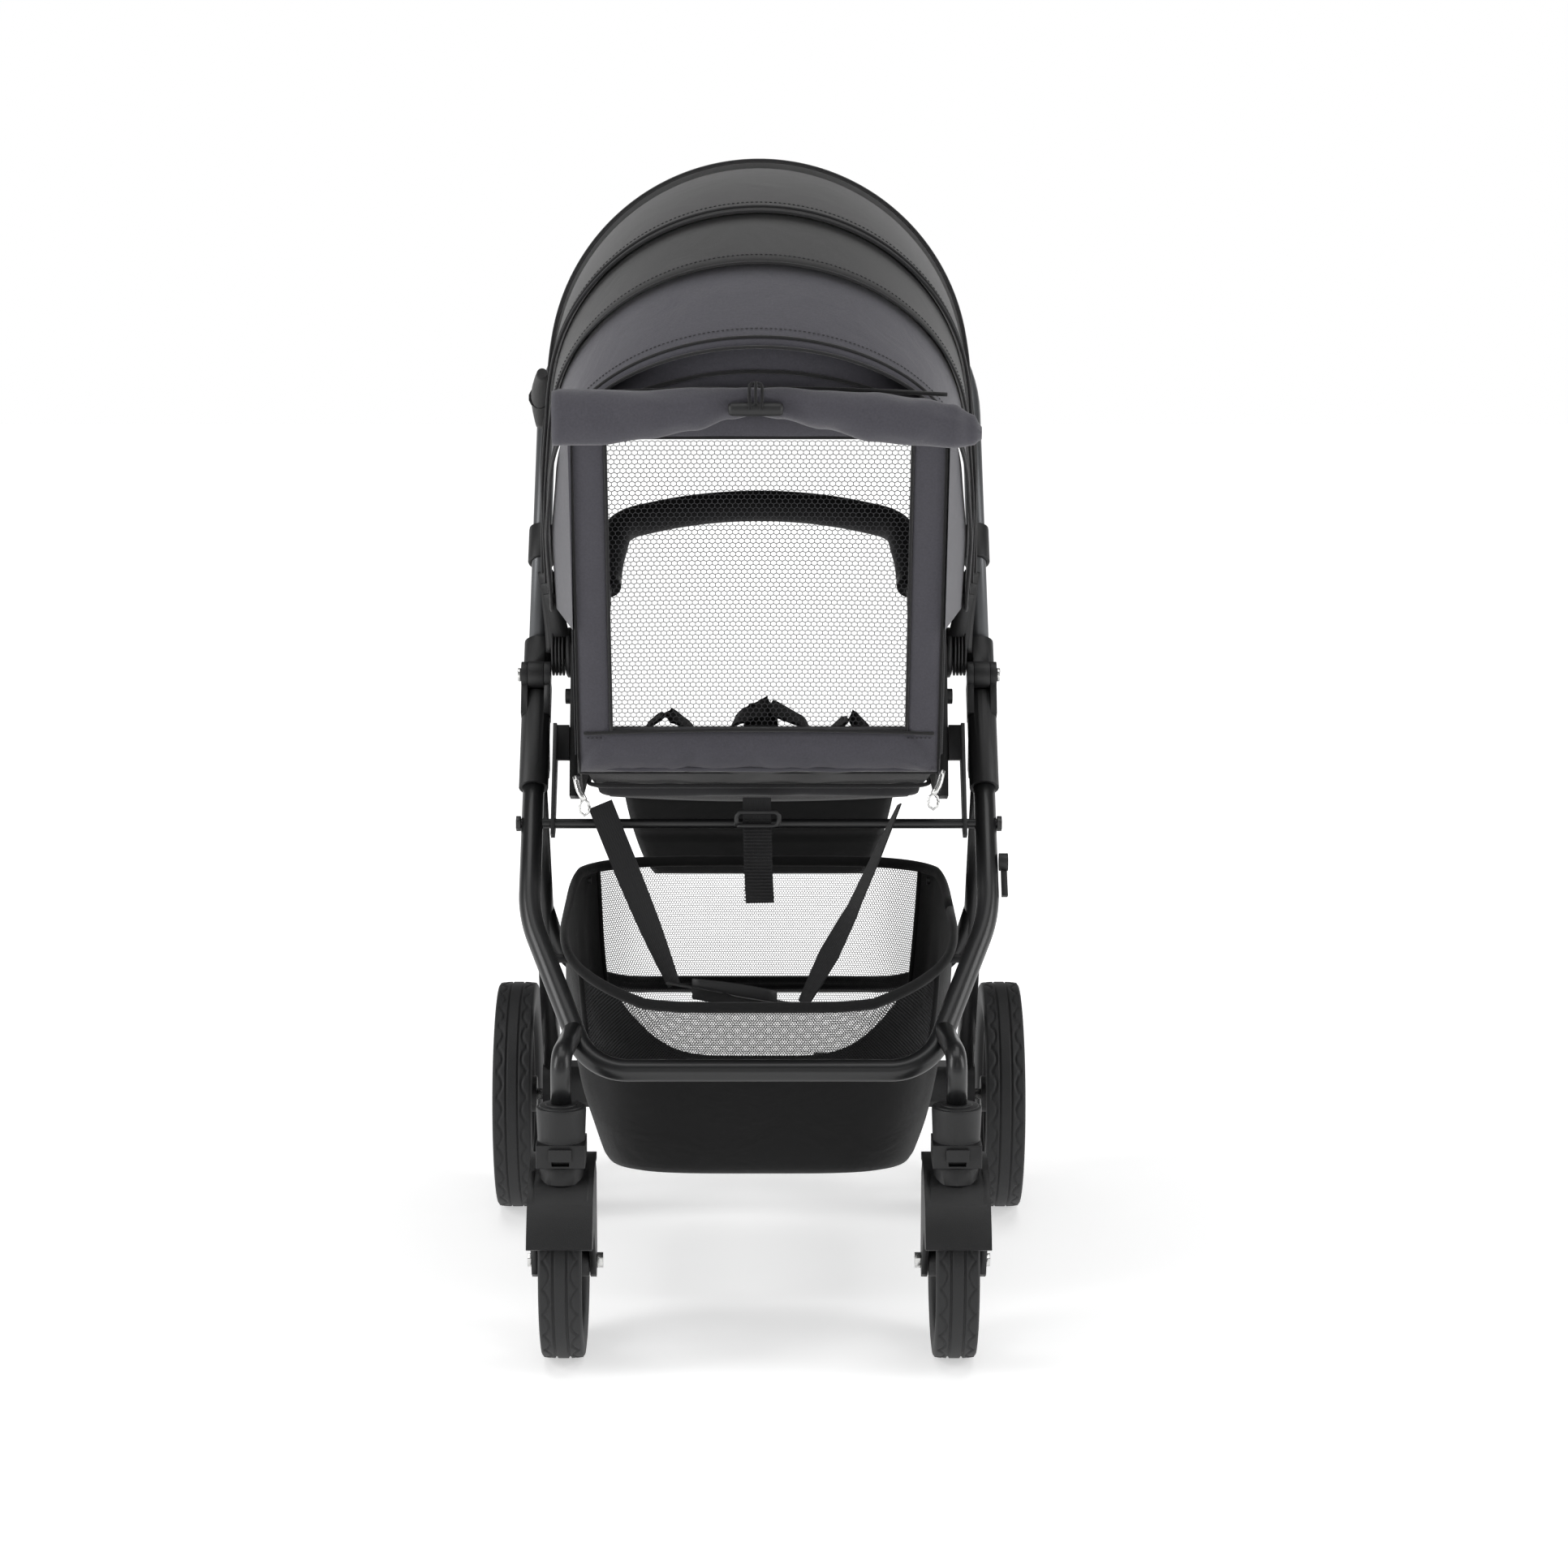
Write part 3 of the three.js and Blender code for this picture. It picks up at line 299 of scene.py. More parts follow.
def finish_with_grain(name, colour, scale, roughness, spread, bump, metallic=0.0, coat=0.0, specular=0.5):
    """A moulded or coated finish: the grain group drives colour, roughness and bump."""
    made, n, l, shader = new_material(name)
    grain = n.new("ShaderNodeGroup")
    grain.node_tree = surface_grain
    grain.inputs["Scale"].default_value = scale
    grain.inputs["Roughness"].default_value = roughness
    grain.inputs["Spread"].default_value = spread
    tone = n.new("ShaderNodeMix")
    tone.data_type = "RGBA"
    tone.blend_type = "MULTIPLY"
    tone.inputs["Factor"].default_value = 1
    tone.inputs["A"].default_value = (*colour, 1)
    l.new(grain.outputs["Shade"], tone.inputs["B"])
    l.new(tone.outputs["Result"], shader.inputs["Base Color"])
    l.new(grain.outputs["Roughness"], shader.inputs["Roughness"])
    height = n.new("ShaderNodeBump")
    height.inputs["Strength"].default_value = bump
    height.inputs["Distance"].default_value = 0.0004
    l.new(grain.outputs["Height"], height.inputs["Height"])
    l.new(height.outputs["Normal"], shader.inputs["Normal"])
    shader.inputs["Metallic"].default_value = metallic
    shader.inputs["Coat Weight"].default_value = coat
    shader.inputs["Specular IOR Level"].default_value = specular
    return made


black_coat = finish_with_grain(
    "black_powder_coat",
    (0.0062, 0.0064, 0.0069),
    1500,
    0.38,
    0.12,
    0.12,
    coat=0.15,
)
grey_coat = finish_with_grain(
    "grey_satin_coat",
    (0.085, 0.088, 0.092),
    1300,
    0.36,
    0.1,
    0.08,
    metallic=0.55,
)
moulded = finish_with_grain("moulded_plastic", (0.0056, 0.0057, 0.0062), 1100, 0.52, 0.14, 0.35)
plated = finish_with_grain("zinc_plated_steel", (0.62, 0.62, 0.61), 700, 0.25, 0.12, 0.06, metallic=1.0)

TUBE_HALF = 229
SLOPE = (0.64, 0.7684)
HINGE_RUN = 441.5


def on_tube(x, run, off=0.0):
    """A point beside the sloping side tube, run measured up the tube from the front crossbar."""
    return at(x, 17 + SLOPE[0] * run - SLOPE[1] * off, 281 + SLOPE[1] * run + SLOPE[0] * off)


def dress(piece, material, body, slot, *replaced):
    piece.data.materials.clear()
    piece.data.materials.append(material)
    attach(piece, body)
    if replaced:
        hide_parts(*replaced)
    return piece


front_line = rounded(
    [
        on_tube(TUBE_HALF, HINGE_RUN - 16),
        on_tube(TUBE_HALF, 170),
        on_tube(165, 0),
        on_tube(-165, 0),
        on_tube(-TUBE_HALF, 170),
        on_tube(-TUBE_HALF, HINGE_RUN - 16),
    ],
    [150, 55, 55, 150],
    14,
)
front_tube = bent_tube("front_frame_tube", front_line, 11, 32)
dress(front_tube, black_coat, "chassis", "tube_dark", "front_frame")
for side, x in (("r", 1), ("l", -1)):
    stem_line = rounded([on_tube(181 * x, 44), at(190 * x, -35, 308), at(190 * x, -35, 262)], [18])
    dress(bent_tube("caster_stem_" + side, stem_line, 10), black_coat, "chassis", "tube_dark")

# The push handle is one tube bent to a wide bow, with a foam sleeve over the top.
handle_line = rounded(
    [
        on_tube(TUBE_HALF, HINGE_RUN + 16),
        on_tube(TUBE_HALF, HINGE_RUN + 552),
        on_tube(-TUBE_HALF, HINGE_RUN + 552),
        on_tube(-TUBE_HALF, HINGE_RUN + 16),
    ],
    [210, 210],
    24,
)
dress(bent_tube("handle_bow", handle_line, 10, 32), grey_coat, "push_handle", "tube_grey", "handle_tube")


# The rear legs cross down from the hinge to the axle beam, with a bowed bar between them.
leg_head, leg_foot = at(TUBE_HALF, 272, 540), at(TUBE_HALF, 535, 138)
for side, x in (("r", 1), ("l", -1)):
    mirror = Vector((x, 1, 1))
    leg_line = [leg_head.lerp(leg_foot, 0.02) * mirror, leg_head.lerp(leg_foot, 0.94) * mirror]
    dress(bent_tube("rear_leg_" + side, leg_line, 10), black_coat, "rear_legs", "tube_dark")
bow_start = leg_head.lerp(leg_foot, (540 - 372) / (540 - 138))
bow_line = rounded(
    [bow_start, at(205, 452, 268), at(-205, 452, 268), bow_start * Vector((-1, 1, 1))], [90, 90], 14
)
dress(bent_tube("rear_bow", bow_line, 9), black_coat, "rear_legs", "tube_dark", "rear_frame")
for side, x in (("r", 1), ("l", -1)):
    rings = []
    for w, r in ((-8, 10), (-7.4, 12), (7.4, 12), (8, 10)):
        turns = np.linspace(0, 2 * math.pi, 32, endpoint=False)
        rings.append(
            [at(x * (TUBE_HALF + w), 272 + r * math.cos(a), 540 + r * math.sin(a)) for a in turns]
        )
    piece = link(
        "rear_leg_eye_" + side,
        lay_grid("rear_leg_eye", rings if x > 0 else rings[::-1], True, True),
    )
    dress(piece, moulded, "rear_legs", "plastic")

# ---- Moulded and turned hard parts --------------------------------------
# Glass-filled nylon mouldings, bolts and the pressed seat frame keep their CAD shape.
# Each gets a small edge radius, as a mould or a tumbling drum leaves it.
HARD_PARTS = {
    "caster_socket": (moulded, 1.0),
    "swivel_lock": (moulded, 0.8),
    "caster_fork": (moulded, 1.6),
    "front_axle": (plated, 0.5),
    "fold_hinge_lower": (moulded, 1.0),
    "fold_hinge_upper": (moulded, 1.0),
    "fold_pin": (plated, 0.8),
    "fold_slider": (moulded, 1.2),
    "seat_receiver": (moulded, 0.8),
    "seat_upright": (moulded, 1.5),
    "seat_button": (moulded, 0.8),
    "seat_hub": (moulded, 0.8),
    "rear_axle_beam": (moulded, 1.8),
    "rear_axle": (plated, 0.5),
    "brake_pedal": (moulded, 1.2),
    "cross_rod": (black_coat, 0.6),
    "storage_latch": (moulded, 1.0),
    "seat_frame": (black_coat, 0.8),
}
for base, (material, radius) in HARD_PARTS.items():
    for name in (base, base + "_r", base + "_l"):
        if name not in nodes:
            continue
        part = nodes[name]
        part.data.materials.clear()
        part.data.materials.append(material)
        part.data.polygons.foreach_set("use_smooth", [True] * len(part.data.polygons))
        weld = part.modifiers.new("weld", "WELD")
        weld.merge_threshold = 0.00002
        bevel = part.modifiers.new("edge_radius", "BEVEL")
        bevel.width = radius / 1000
        bevel.segments = 3
        bevel.limit_method = "ANGLE"
        bevel.angle_limit = math.radians(38)
        bevel.harden_normals = True

# ---- Wheels -------------------------------------------------------------
# Solid rubber tyres on moulded five-spoke rims. The tread has a centre rib between two
# grooves and a row of scallops cut into each shoulder; the rims keep their CAD shape.
rubber = finish_with_grain("tyre_rubber", (0.0115, 0.0118, 0.0125), 800, 0.62, 0.15, 0.4)


def tread_depth(side, angle, scallops):
    depth = 0.0
    if 5.2 < abs(side) < 7.4:
        depth = 1.8
    wave = 16.5 - 6.2 * abs(math.sin(scallops * angle / 2))
    gap = abs(abs(side) - wave)
    if gap < 1.4:
        depth = max(depth, 1.5 * (1 - gap / 1.4) ** 0.5)
    return depth


def tyre(name, base, scallops, bead, body):
    low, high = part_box(base)
    centre = (low + high) / 2
    radius = (high.z - low.z) * 500
    half = (high.x - low.x) * 500
    wall = radius - bead
    edge = [
        (0.78, bead),
        (0.9, bead + 0.25 * wall),
        (0.985, bead + 0.5 * wall),
        (1.0, bead + 0.7 * wall),
        (0.975, radius - 3.4),
        (0.93, radius - 2.3),
    ]
    crown = [(w, radius - 1.6 * abs(w) ** 3) for w in np.linspace(0.9, -0.9, 47)]
    profile = edge + crown + [(-w, r) for w, r in reversed(edge)]
    rows = []
    steps = 264
    for k in range(steps):
        a = 2 * math.pi * k / steps
        row = []
        for w, r in profile:
            cut = tread_depth(w * half, a, scallops) if r > radius - 3 else 0
            reach_out = (r - cut) / 1000
            row.append(centre + Vector((w * half / 1000, reach_out * math.cos(a), reach_out * math.sin(a))))
        rows.append(row)
    piece = link(name, lay_grid(name, rows, True, False, True))
    dress(piece, rubber, body, "tyre", base)


for side in "rl":
    tyre("front_tread_" + side, "front_tyre_" + side, 22, 68, "front_wheel_" + side)
    tyre("rear_tread_" + side, "rear_tyre_" + side, 28, 93, "rear_wheel_" + side)

for name in ("front_rim_r", "front_rim_l", "rear_rim_r", "rear_rim_l"):
    part = nodes[name]
    part.data.materials.clear()
    part.data.materials.append(moulded)
    part.data.polygons.foreach_set("use_smooth", [True] * len(part.data.polygons))
    weld = part.modifiers.new("weld", "WELD")
    weld.merge_threshold = 0.00002
    edge = part.modifiers.new("edge_radius", "BEVEL")
    edge.width = 0.0012
    edge.segments = 2
    edge.limit_method = "ANGLE"
    edge.angle_limit = math.radians(38)
    edge.harden_normals = True

# ---- Foam sleeves -------------------------------------------------------
# Closed-cell foam is slipped over the handle bow and over the bumper bar. Its cut ends
# are plain.
foam = finish_with_grain("foam_sleeve", (0.021, 0.021, 0.0225), 420, 0.8, 0.12, 0.7)


def trimmed(line, cut):
    """The line with the given length taken off both of its ends."""
    out = list(line)
    for _ in range(2):
        left = cut / 1000
        while (out[1] - out[0]).length < left:
            left -= (out[1] - out[0]).length
            out.pop(0)
        out[0] = out[0].lerp(out[1], left / (out[1] - out[0]).length)
        out.reverse()
    return out


def resampled(line, step):
    lengths = [0.0]
    for a, b in zip(line, line[1:]):
        lengths.append(lengths[-1] + (b - a).length)
    count = max(2, round(lengths[-1] * 1000 / step))
    out = []
    i = 0
    for k in range(count + 1):
        want = lengths[-1] * k / count
        while i < len(line) - 2 and lengths[i + 1] < want:
            i += 1
        span = lengths[i + 1] - lengths[i]
        out.append(line[i].lerp(line[i + 1], (want - lengths[i]) / span if span else 0))
    return out


grip_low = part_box("handle_grip")[0]
grip_line = [p for p in resampled(handle_line, 8) if p.z > grip_low.z + 0.014]
foam_grip = bent_tube("foam_grip", grip_line, 17, 32)
dress(foam_grip, foam, "push_handle", "foam", "handle_grip")

bumper_line = rounded(
    [
        at(-163, 330, 700),
        at(-158, 385, 739),
        at(-150, 447, 770),
        at(0, 512, 797),
        at(150, 447, 770),
        at(158, 385, 739),
        at(163, 330, 700),
    ],
    [60, 45, 260, 45, 60],
    12,
)
bumper_line = resampled(bumper_line, 7)
bumper_foam = bent_tube("bumper_foam", trimmed(bumper_line, 34), 16.5, 32)
dress(bumper_foam, foam, "bumper", "foam", "bumper_bar")
for side, x in (("r", 1), ("l", -1)):
    arm = rounded([at(163 * x, 322, 694), at(163 * x, 340, 708), at(160 * x, 372, 730)], [12])
    end_fitting = bent_tube("bumper_end_" + side, arm, 9.5, 24)
    dress(end_fitting, moulded, "bumper", "plastic")
    collar = trimmed(bumper_line, 28)
    collar = collar[-3:] if x > 0 else collar[:3]
    dress(bent_tube("bumper_collar_" + side, collar, 17.4, 32), moulded, "bumper", "plastic")

# ---- Fabrics ------------------------------------------------------------
# The seat and hood are charcoal woven polyester, the basket a thinner near-black cloth,
# and the straps a ribbed webbing. Each pattern is counted in threads on the cut cloth.
def weave_group():
    """A plain weave on the UV map: shade, height and a broad crease height."""
    tree = bpy.data.node_groups.new("woven_cloth", "ShaderNodeTree")
    for label, value in (("Across", 1500.0), ("Along", 1500.0), ("Mottle", 0.3)):
        socket = tree.interface.new_socket(name=label, in_out="INPUT", socket_type="NodeSocketFloat")
        socket.default_value = value
    for label in ("Shade", "Height", "Crease"):
        tree.interface.new_socket(name=label, in_out="OUTPUT", socket_type="NodeSocketFloat")
    n, l = tree.nodes, tree.links
    inlet, outlet = n.new("NodeGroupInput"), n.new("NodeGroupOutput")
    place = n.new("ShaderNodeTexCoord")
    split = n.new("ShaderNodeSeparateXYZ")
    l.new(place.outputs["UV"], split.inputs[0])
    waves = []
    for axis, count in (("X", "Across"), ("Y", "Along")):
        turns = n.new("ShaderNodeMath")
        turns.operation = "MULTIPLY"
        l.new(split.outputs[axis], turns.inputs[0])
        l.new(inlet.outputs[count], turns.inputs[1])
        wave = n.new("ShaderNodeMath")
        wave.operation = "SINE"
        l.new(turns.outputs[0], wave.inputs[0])
        waves.append(wave)
    cross = n.new("ShaderNodeMath")
    cross.operation = "MULTIPLY"
    l.new(waves[0].outputs[0], cross.inputs[0])
    l.new(waves[1].outputs[0], cross.inputs[1])
    fleck = n.new("ShaderNodeTexNoise")
    fleck.inputs["Scale"].default_value = 520
    fleck.inputs["Detail"].default_value = 2
    l.new(place.outputs["Object"], fleck.inputs["Vector"])
    shade = n.new("ShaderNodeMath")
    shade.operation = "SUBTRACT"
    l.new(fleck.outputs["Fac"], shade.inputs[0])
    shade.inputs[1].default_value = 0.5
    mottle = n.new("ShaderNodeMath")
    mottle.operation = "MULTIPLY_ADD"
    l.new(shade.outputs[0], mottle.inputs[0])
    l.new(inlet.outputs["Mottle"], mottle.inputs[1])
    mottle.inputs[2].default_value = 1
    thread = n.new("ShaderNodeMath")
    thread.operation = "MULTIPLY_ADD"
    l.new(cross.outputs[0], thread.inputs[0])
    thread.inputs[1].default_value = 0.08
    l.new(mottle.outputs[0], thread.inputs[2])
    crease = n.new("ShaderNodeTexNoise")
    crease.inputs["Scale"].default_value = 17
    crease.inputs["Detail"].default_value = 3
    crease.inputs["Distortion"].default_value = 0.8
    l.new(place.outputs["Object"], crease.inputs["Vector"])
    l.new(thread.outputs[0], outlet.inputs["Shade"])
    l.new(cross.outputs[0], outlet.inputs["Height"])
    l.new(crease.outputs["Fac"], outlet.inputs["Crease"])
    return tree


woven = weave_group()


def cloth(name, colour, threads, crease, roughness=0.82, sheen=0.25, mottle=0.5, see_through=None):
    made, n, l, shader = new_material(name)
    weave = n.new("ShaderNodeGroup")
    weave.node_tree = woven
    weave.inputs["Across"].default_value = threads[0]
    weave.inputs["Along"].default_value = threads[1]
    weave.inputs["Mottle"].default_value = mottle
    tone = n.new("ShaderNodeMix")
    tone.data_type = "RGBA"
    tone.blend_type = "MULTIPLY"
    tone.inputs["Factor"].default_value = 1
    tone.inputs["A"].default_value = (*colour, 1)
    l.new(weave.outputs["Shade"], tone.inputs["B"])
    l.new(tone.outputs["Result"], shader.inputs["Base Color"])
    broad = n.new("ShaderNodeBump")
    broad.inputs["Strength"].default_value = crease
    broad.inputs["Distance"].default_value = 0.006
    l.new(weave.outputs["Crease"], broad.inputs["Height"])
    fine = n.new("ShaderNodeBump")
    fine.inputs["Strength"].default_value = 0.35
    fine.inputs["Distance"].default_value = 0.0003
    l.new(weave.outputs["Height"], fine.inputs["Height"])
    l.new(broad.outputs["Normal"], fine.inputs["Normal"])
    l.new(fine.outputs["Normal"], shader.inputs["Normal"])
    shader.inputs["Roughness"].default_value = roughness
    shader.inputs["Sheen Weight"].default_value = sheen
    shader.inputs["Sheen Roughness"].default_value = 0.5
    shader.inputs["Specular IOR Level"].default_value = 0.25
    if see_through:
        holes = n.new("ShaderNodeGroup")
        holes.node_tree = open_net
        holes.inputs["Pitch"].default_value = see_through[0]
        holes.inputs["Hole"].default_value = see_through[1]
        l.new(holes.outputs["Thread"], shader.inputs["Alpha"])
    return made


def net_group():
    """Staggered round holes on the UV map: 1 on the thread, 0 in a hole."""
    tree = bpy.data.node_groups.new("open_net", "ShaderNodeTree")
    for label, value in (("Pitch", 0.0025), ("Hole", 0.4)):
        socket = tree.interface.new_socket(name=label, in_out="INPUT", socket_type="NodeSocketFloat")
        socket.default_value = value
    tree.interface.new_socket(name="Thread", in_out="OUTPUT", socket_type="NodeSocketFloat")
    n, l = tree.nodes, tree.links
    inlet, outlet = n.new("NodeGroupInput"), n.new("NodeGroupOutput")
    place = n.new("ShaderNodeTexCoord")
    tall = n.new("ShaderNodeVectorMath")
    tall.operation = "DIVIDE"
    tall.inputs[1].default_value = (1, math.sqrt(3), 1)
    l.new(place.outputs["UV"], tall.inputs[0])
    pitch = n.new("ShaderNodeCombineXYZ")
    for axis in "XYZ":
        l.new(inlet.outputs["Pitch"], pitch.inputs[axis])
    cells = n.new("ShaderNodeVectorMath")
    cells.operation = "DIVIDE"
    l.new(tall.outputs[0], cells.inputs[0])
    l.new(pitch.outputs[0], cells.inputs[1])
    spans = []
    for shift in (0.0, 0.5):
        moved = n.new("ShaderNodeVectorMath")
        moved.operation = "ADD"
        moved.inputs[1].default_value = (shift, shift, 0)
        l.new(cells.outputs[0], moved.inputs[0])
        part = n.new("ShaderNodeVectorMath")
        part.operation = "FRACTION"
        l.new(moved.outputs[0], part.inputs[0])
        centred = n.new("ShaderNodeVectorMath")
        centred.operation = "SUBTRACT"
        centred.inputs[1].default_value = (0.5, 0.5, 0)
        l.new(part.outputs[0], centred.inputs[0])
        stretched = n.new("ShaderNodeVectorMath")
        stretched.operation = "MULTIPLY"
        stretched.inputs[1].default_value = (1, math.sqrt(3), 0)
        l.new(centred.outputs[0], stretched.inputs[0])
        span = n.new("ShaderNodeVectorMath")
        span.operation = "LENGTH"
        l.new(stretched.outputs[0], span.inputs[0])
        spans.append(span)
    nearest = n.new("ShaderNodeMath")
    nearest.operation = "MINIMUM"
    l.new(spans[0].outputs["Value"], nearest.inputs[0])
    l.new(spans[1].outputs["Value"], nearest.inputs[1])
    thread = n.new("ShaderNodeMath")
    thread.operation = "GREATER_THAN"
    l.new(nearest.outputs[0], thread.inputs[0])
    l.new(inlet.outputs["Hole"], thread.inputs[1])
    l.new(thread.outputs[0], outlet.inputs["Thread"])
    return tree


open_net = net_group()
TWO_PI = 2 * math.pi
charcoal = cloth("charcoal_polyester", (0.0305, 0.030, 0.0303), (TWO_PI * 1400, TWO_PI * 1400), 0.16)
slate = cloth("slate_polyester", (0.052, 0.050, 0.061), (TWO_PI * 1300, TWO_PI * 1300), 0.3, 0.7, 0.3)
basket_cloth = cloth(
    "basket_cloth",
    (0.0027, 0.0027, 0.003),
    (TWO_PI * 900, TWO_PI * 900),
    0.35,
    0.75,
    0.12,
)
webbing = cloth(
    "ribbed_webbing",
    (0.0062, 0.0062, 0.0068),
    (TWO_PI * 420, TWO_PI * 60),
    0.1,
    0.7,
    0.15,
    0.6,
)
lining = cloth("quilted_lining", (0.02, 0.0195, 0.0215), (TWO_PI * 900, TWO_PI * 900), 0.25)
piping_cloth = cloth(
    "piping_cloth",
    (0.0105, 0.0102, 0.0112),
    (TWO_PI * 1300, TWO_PI * 1300),
    0.05,
    0.7,
    0.2,
)
fine_net = cloth(
    "fine_basket_net",
    (0.017, 0.017, 0.018),
    (TWO_PI * 900, TWO_PI * 900),
    0.05,
    0.7,
    0.1,
    0.3,
    (0.0026, 0.435),
)
fine_net.surface_render_method = "DITHERED"

# ---- Seat pad -----------------------------------------------------------
# A foam mat in a slate cover lies in the seat frame. Its sewn edge pulls in and the middle
# stays up, so a short cloth run inflates a thin copy of the frame's outline.
def closed_slab(name, outline, low, high):
    """A slab between two heights over an outline of (x, rear) points in millimetres."""
    mesh = bpy.data.meshes.new(name)
    count = len(outline)
    points = [at(x, y, z) for z in (low, high) for x, y in outline]
    faces = [tuple(range(count))[::-1], tuple(range(count, 2 * count))]
    faces += [(k, (k + 1) % count, count + (k + 1) % count, count + k) for k in range(count)]
    mesh.from_pydata([tuple(p) for p in points], [], faces)
    return link(name, mesh)


def finished_mesh(piece):
    """The piece's mesh with its modifiers built in, and the modifiers taken off."""
    bpy.context.view_layer.update()
    graph = bpy.context.evaluated_depsgraph_get()
    made = bpy.data.meshes.new_from_object(piece.evaluated_get(graph))
    piece.modifiers.clear()
    piece.data = made
    for polygon in made.polygons:
        polygon.use_smooth = True
    return piece


def inflate(piece, voxel, pressure, most, lowest):
    """Blow the closed piece up like a stuffed cover, each point moving at most so far."""
    remesh = piece.modifiers.new("even", "REMESH")
    remesh.mode = "VOXEL"
    remesh.voxel_size = voxel
    finished_mesh(piece)
    start = np.array([v.co for v in piece.data.vertices])
    puffed = start
    puff = piece.modifiers.new("puff", "CLOTH")
    puff.settings.use_pressure = True
    puff.settings.uniform_pressure_force = pressure
    puff.settings.quality = 6
    puff.settings.effector_weights.gravity = 0
    for number in range(1, 21):
        bpy.context.scene.frame_set(number)
    finished_mesh(piece)
    bpy.context.scene.frame_set(1)
    puffed = np.array([v.co for v in piece.data.vertices])
    move = puffed - start
    size = np.linalg.norm(move, axis=1, keepdims=True)
    held = start + move * np.minimum(1, most / np.maximum(size, 1e-9))
    held[:, 2] = np.maximum(held[:, 2], lowest)
    piece.data.vertices.foreach_set("co", held.ravel())
    smooth = piece.modifiers.new("soften", "SMOOTH")
    smooth.iterations = 4
    finished_mesh(piece)
    return piece


pad_half, pad_back, pad_front = 168, 141, 426
pad_outline = []
for cx, cy, first in (
    (pad_half - 22, pad_front - 22, 0),
    (22 - pad_half, pad_front - 22, 90),
    (22 - pad_half, pad_back + 22, 180),
    (pad_half - 22, pad_back + 22, 270),
):
    for k in range(7):
        a = math.radians(first + 15 * k)
        pad_outline.append((cx + 22 * math.cos(a), cy + 22 * math.sin(a)))
seat_cushion = closed_slab("seat_cushion", pad_outline, 530, 551)
inflate(seat_cushion, 0.005, 4.0, 0.009, at(0, 0, 527).z)
dress(seat_cushion, lining, "seat", "flap", "seat_pad")


def cord_line(name, line, r, material, body, slot, sides=10):
    return dress(bent_tube(name, resampled(line, 5), r, sides), material, body, slot)


pad_seam = [at(x * 1.012, 283.5 + (y - 283.5) * 1.012, 541) for x, y in pad_outline]
pad_piping = link(
    "seat_pad_piping",
    lay_grid("seat_pad_piping", section_rows(pad_seam + [pad_seam[0]], ring(0.0022, 8)), True, True),
)
dress(pad_piping, piping_cloth, "seat", "flap")

# ---- Seat back and window -----------------------------------------------
# The back is a frame of slate cloth over board, sewn round a window of open hexagonal
# net. The lower band is gathered on elastic and piped along both edges.
BACK_FOOT = (130.0, 548.0)
BACK_TOP = (-3.0, 912.0)
BACK_UP = Vector((0, BACK_TOP[0] - BACK_FOOT[0], BACK_TOP[1] - BACK_FOOT[1])).normalized()
BACK_IN = Vector((0, BACK_UP.z, -BACK_UP.y))


def on_back(x, z, deep=0.0):
    """A point in the plane of the seat back at height z, deep millimetres into the cabin."""
    step = (z - BACK_FOOT[1]) / BACK_UP.z
    return at(x, BACK_FOOT[0] + BACK_UP.y * step + BACK_IN.y * deep, z + BACK_IN.z * deep)


def wrinkle(point, scale, seed=0.0):
    return noise.noise(point * scale + Vector((seed, seed * 1.7, seed * 0.3)))


def rectangle_loop(half_left, half_right, low, high, per_side):
    corners = [(-half_left, low), (half_right, low), (half_right, high), (-half_left, high)]
    loop = []
    for k in range(4):
        a, b = corners[k], corners[(k + 1) % 4]
        for i in range(per_side):
            t = i / per_side
            loop.append((a[0] + (b[0] - a[0]) * t, a[1] + (b[1] - a[1]) * t))
    return loop


def back_border():
    inner = rectangle_loop(146, 146, 603, 896, 44)
    outer = rectangle_loop(177, 177, 557, 922, 44)
    rows = []
    for k, ((xi, zi), (xo, zo)) in enumerate(zip(inner, outer)):
        band = max(0.0, min(1.0, (603 - zi + 2) / 2)) if k < 44 else 0.0
        row = []
        for t in (0, 0.08, 0.22, 0.4, 0.6, 0.78, 0.92, 1.0):
            x, z = xi + (xo - xi) * t, zi + (zo - zi) * t
            crown = 3.4 * (1 - (2 * t - 1) ** 4)
            here = on_back(x, z)
            fold = 1.3 * wrinkle(here, 26, 3) * (1 - (2 * t - 1) ** 2)
            gather = band * (
                9.0 * math.sin(math.pi * t) + 3.4 * wrinkle(
                    Vector((x / 15, t * 0.8, 0)),
                    1,
                    5,
                ) * min(1, 1.6 * t) * (1 - t ** 8)
            )
            row.append(on_back(x, z, -crown - gather - fold))
        for t in (1.0, 0.6, 0.3, 0):
            row.append(on_back(xi + (xo - xi) * t, zi + (zo - zi) * t, 5.5))
        rows.append(row)
    return lay_grid("back_border", rows, True, False, True)


border = link("back_border", back_border())
dress(border, slate, "seat", "flap", "backrest")

piping_paths = {
    "window_piping": [on_back(x, z, -1.5) for x, z in rectangle_loop(145, 145, 602, 898, 30)],
    "back_piping": [on_back(x, z, 0) for x, z in rectangle_loop(177.5, 177.5, 556.5, 922.5, 30)],
}
for name, path in piping_paths.items():
    ring_rows = section_rows(path + [path[0]], ring(0.0017, 8))
    dress(link(name, lay_grid(name, ring_rows, True, True)), piping_cloth, "seat", "flap")
band_piping = [on_back(x, 600 + 4 * (1 - (x / 172) ** 2), -4.2) for x in np.linspace(-172, 172, 60)]
cord_line("band_piping", band_piping, 1.8, piping_cloth, "seat", "flap")


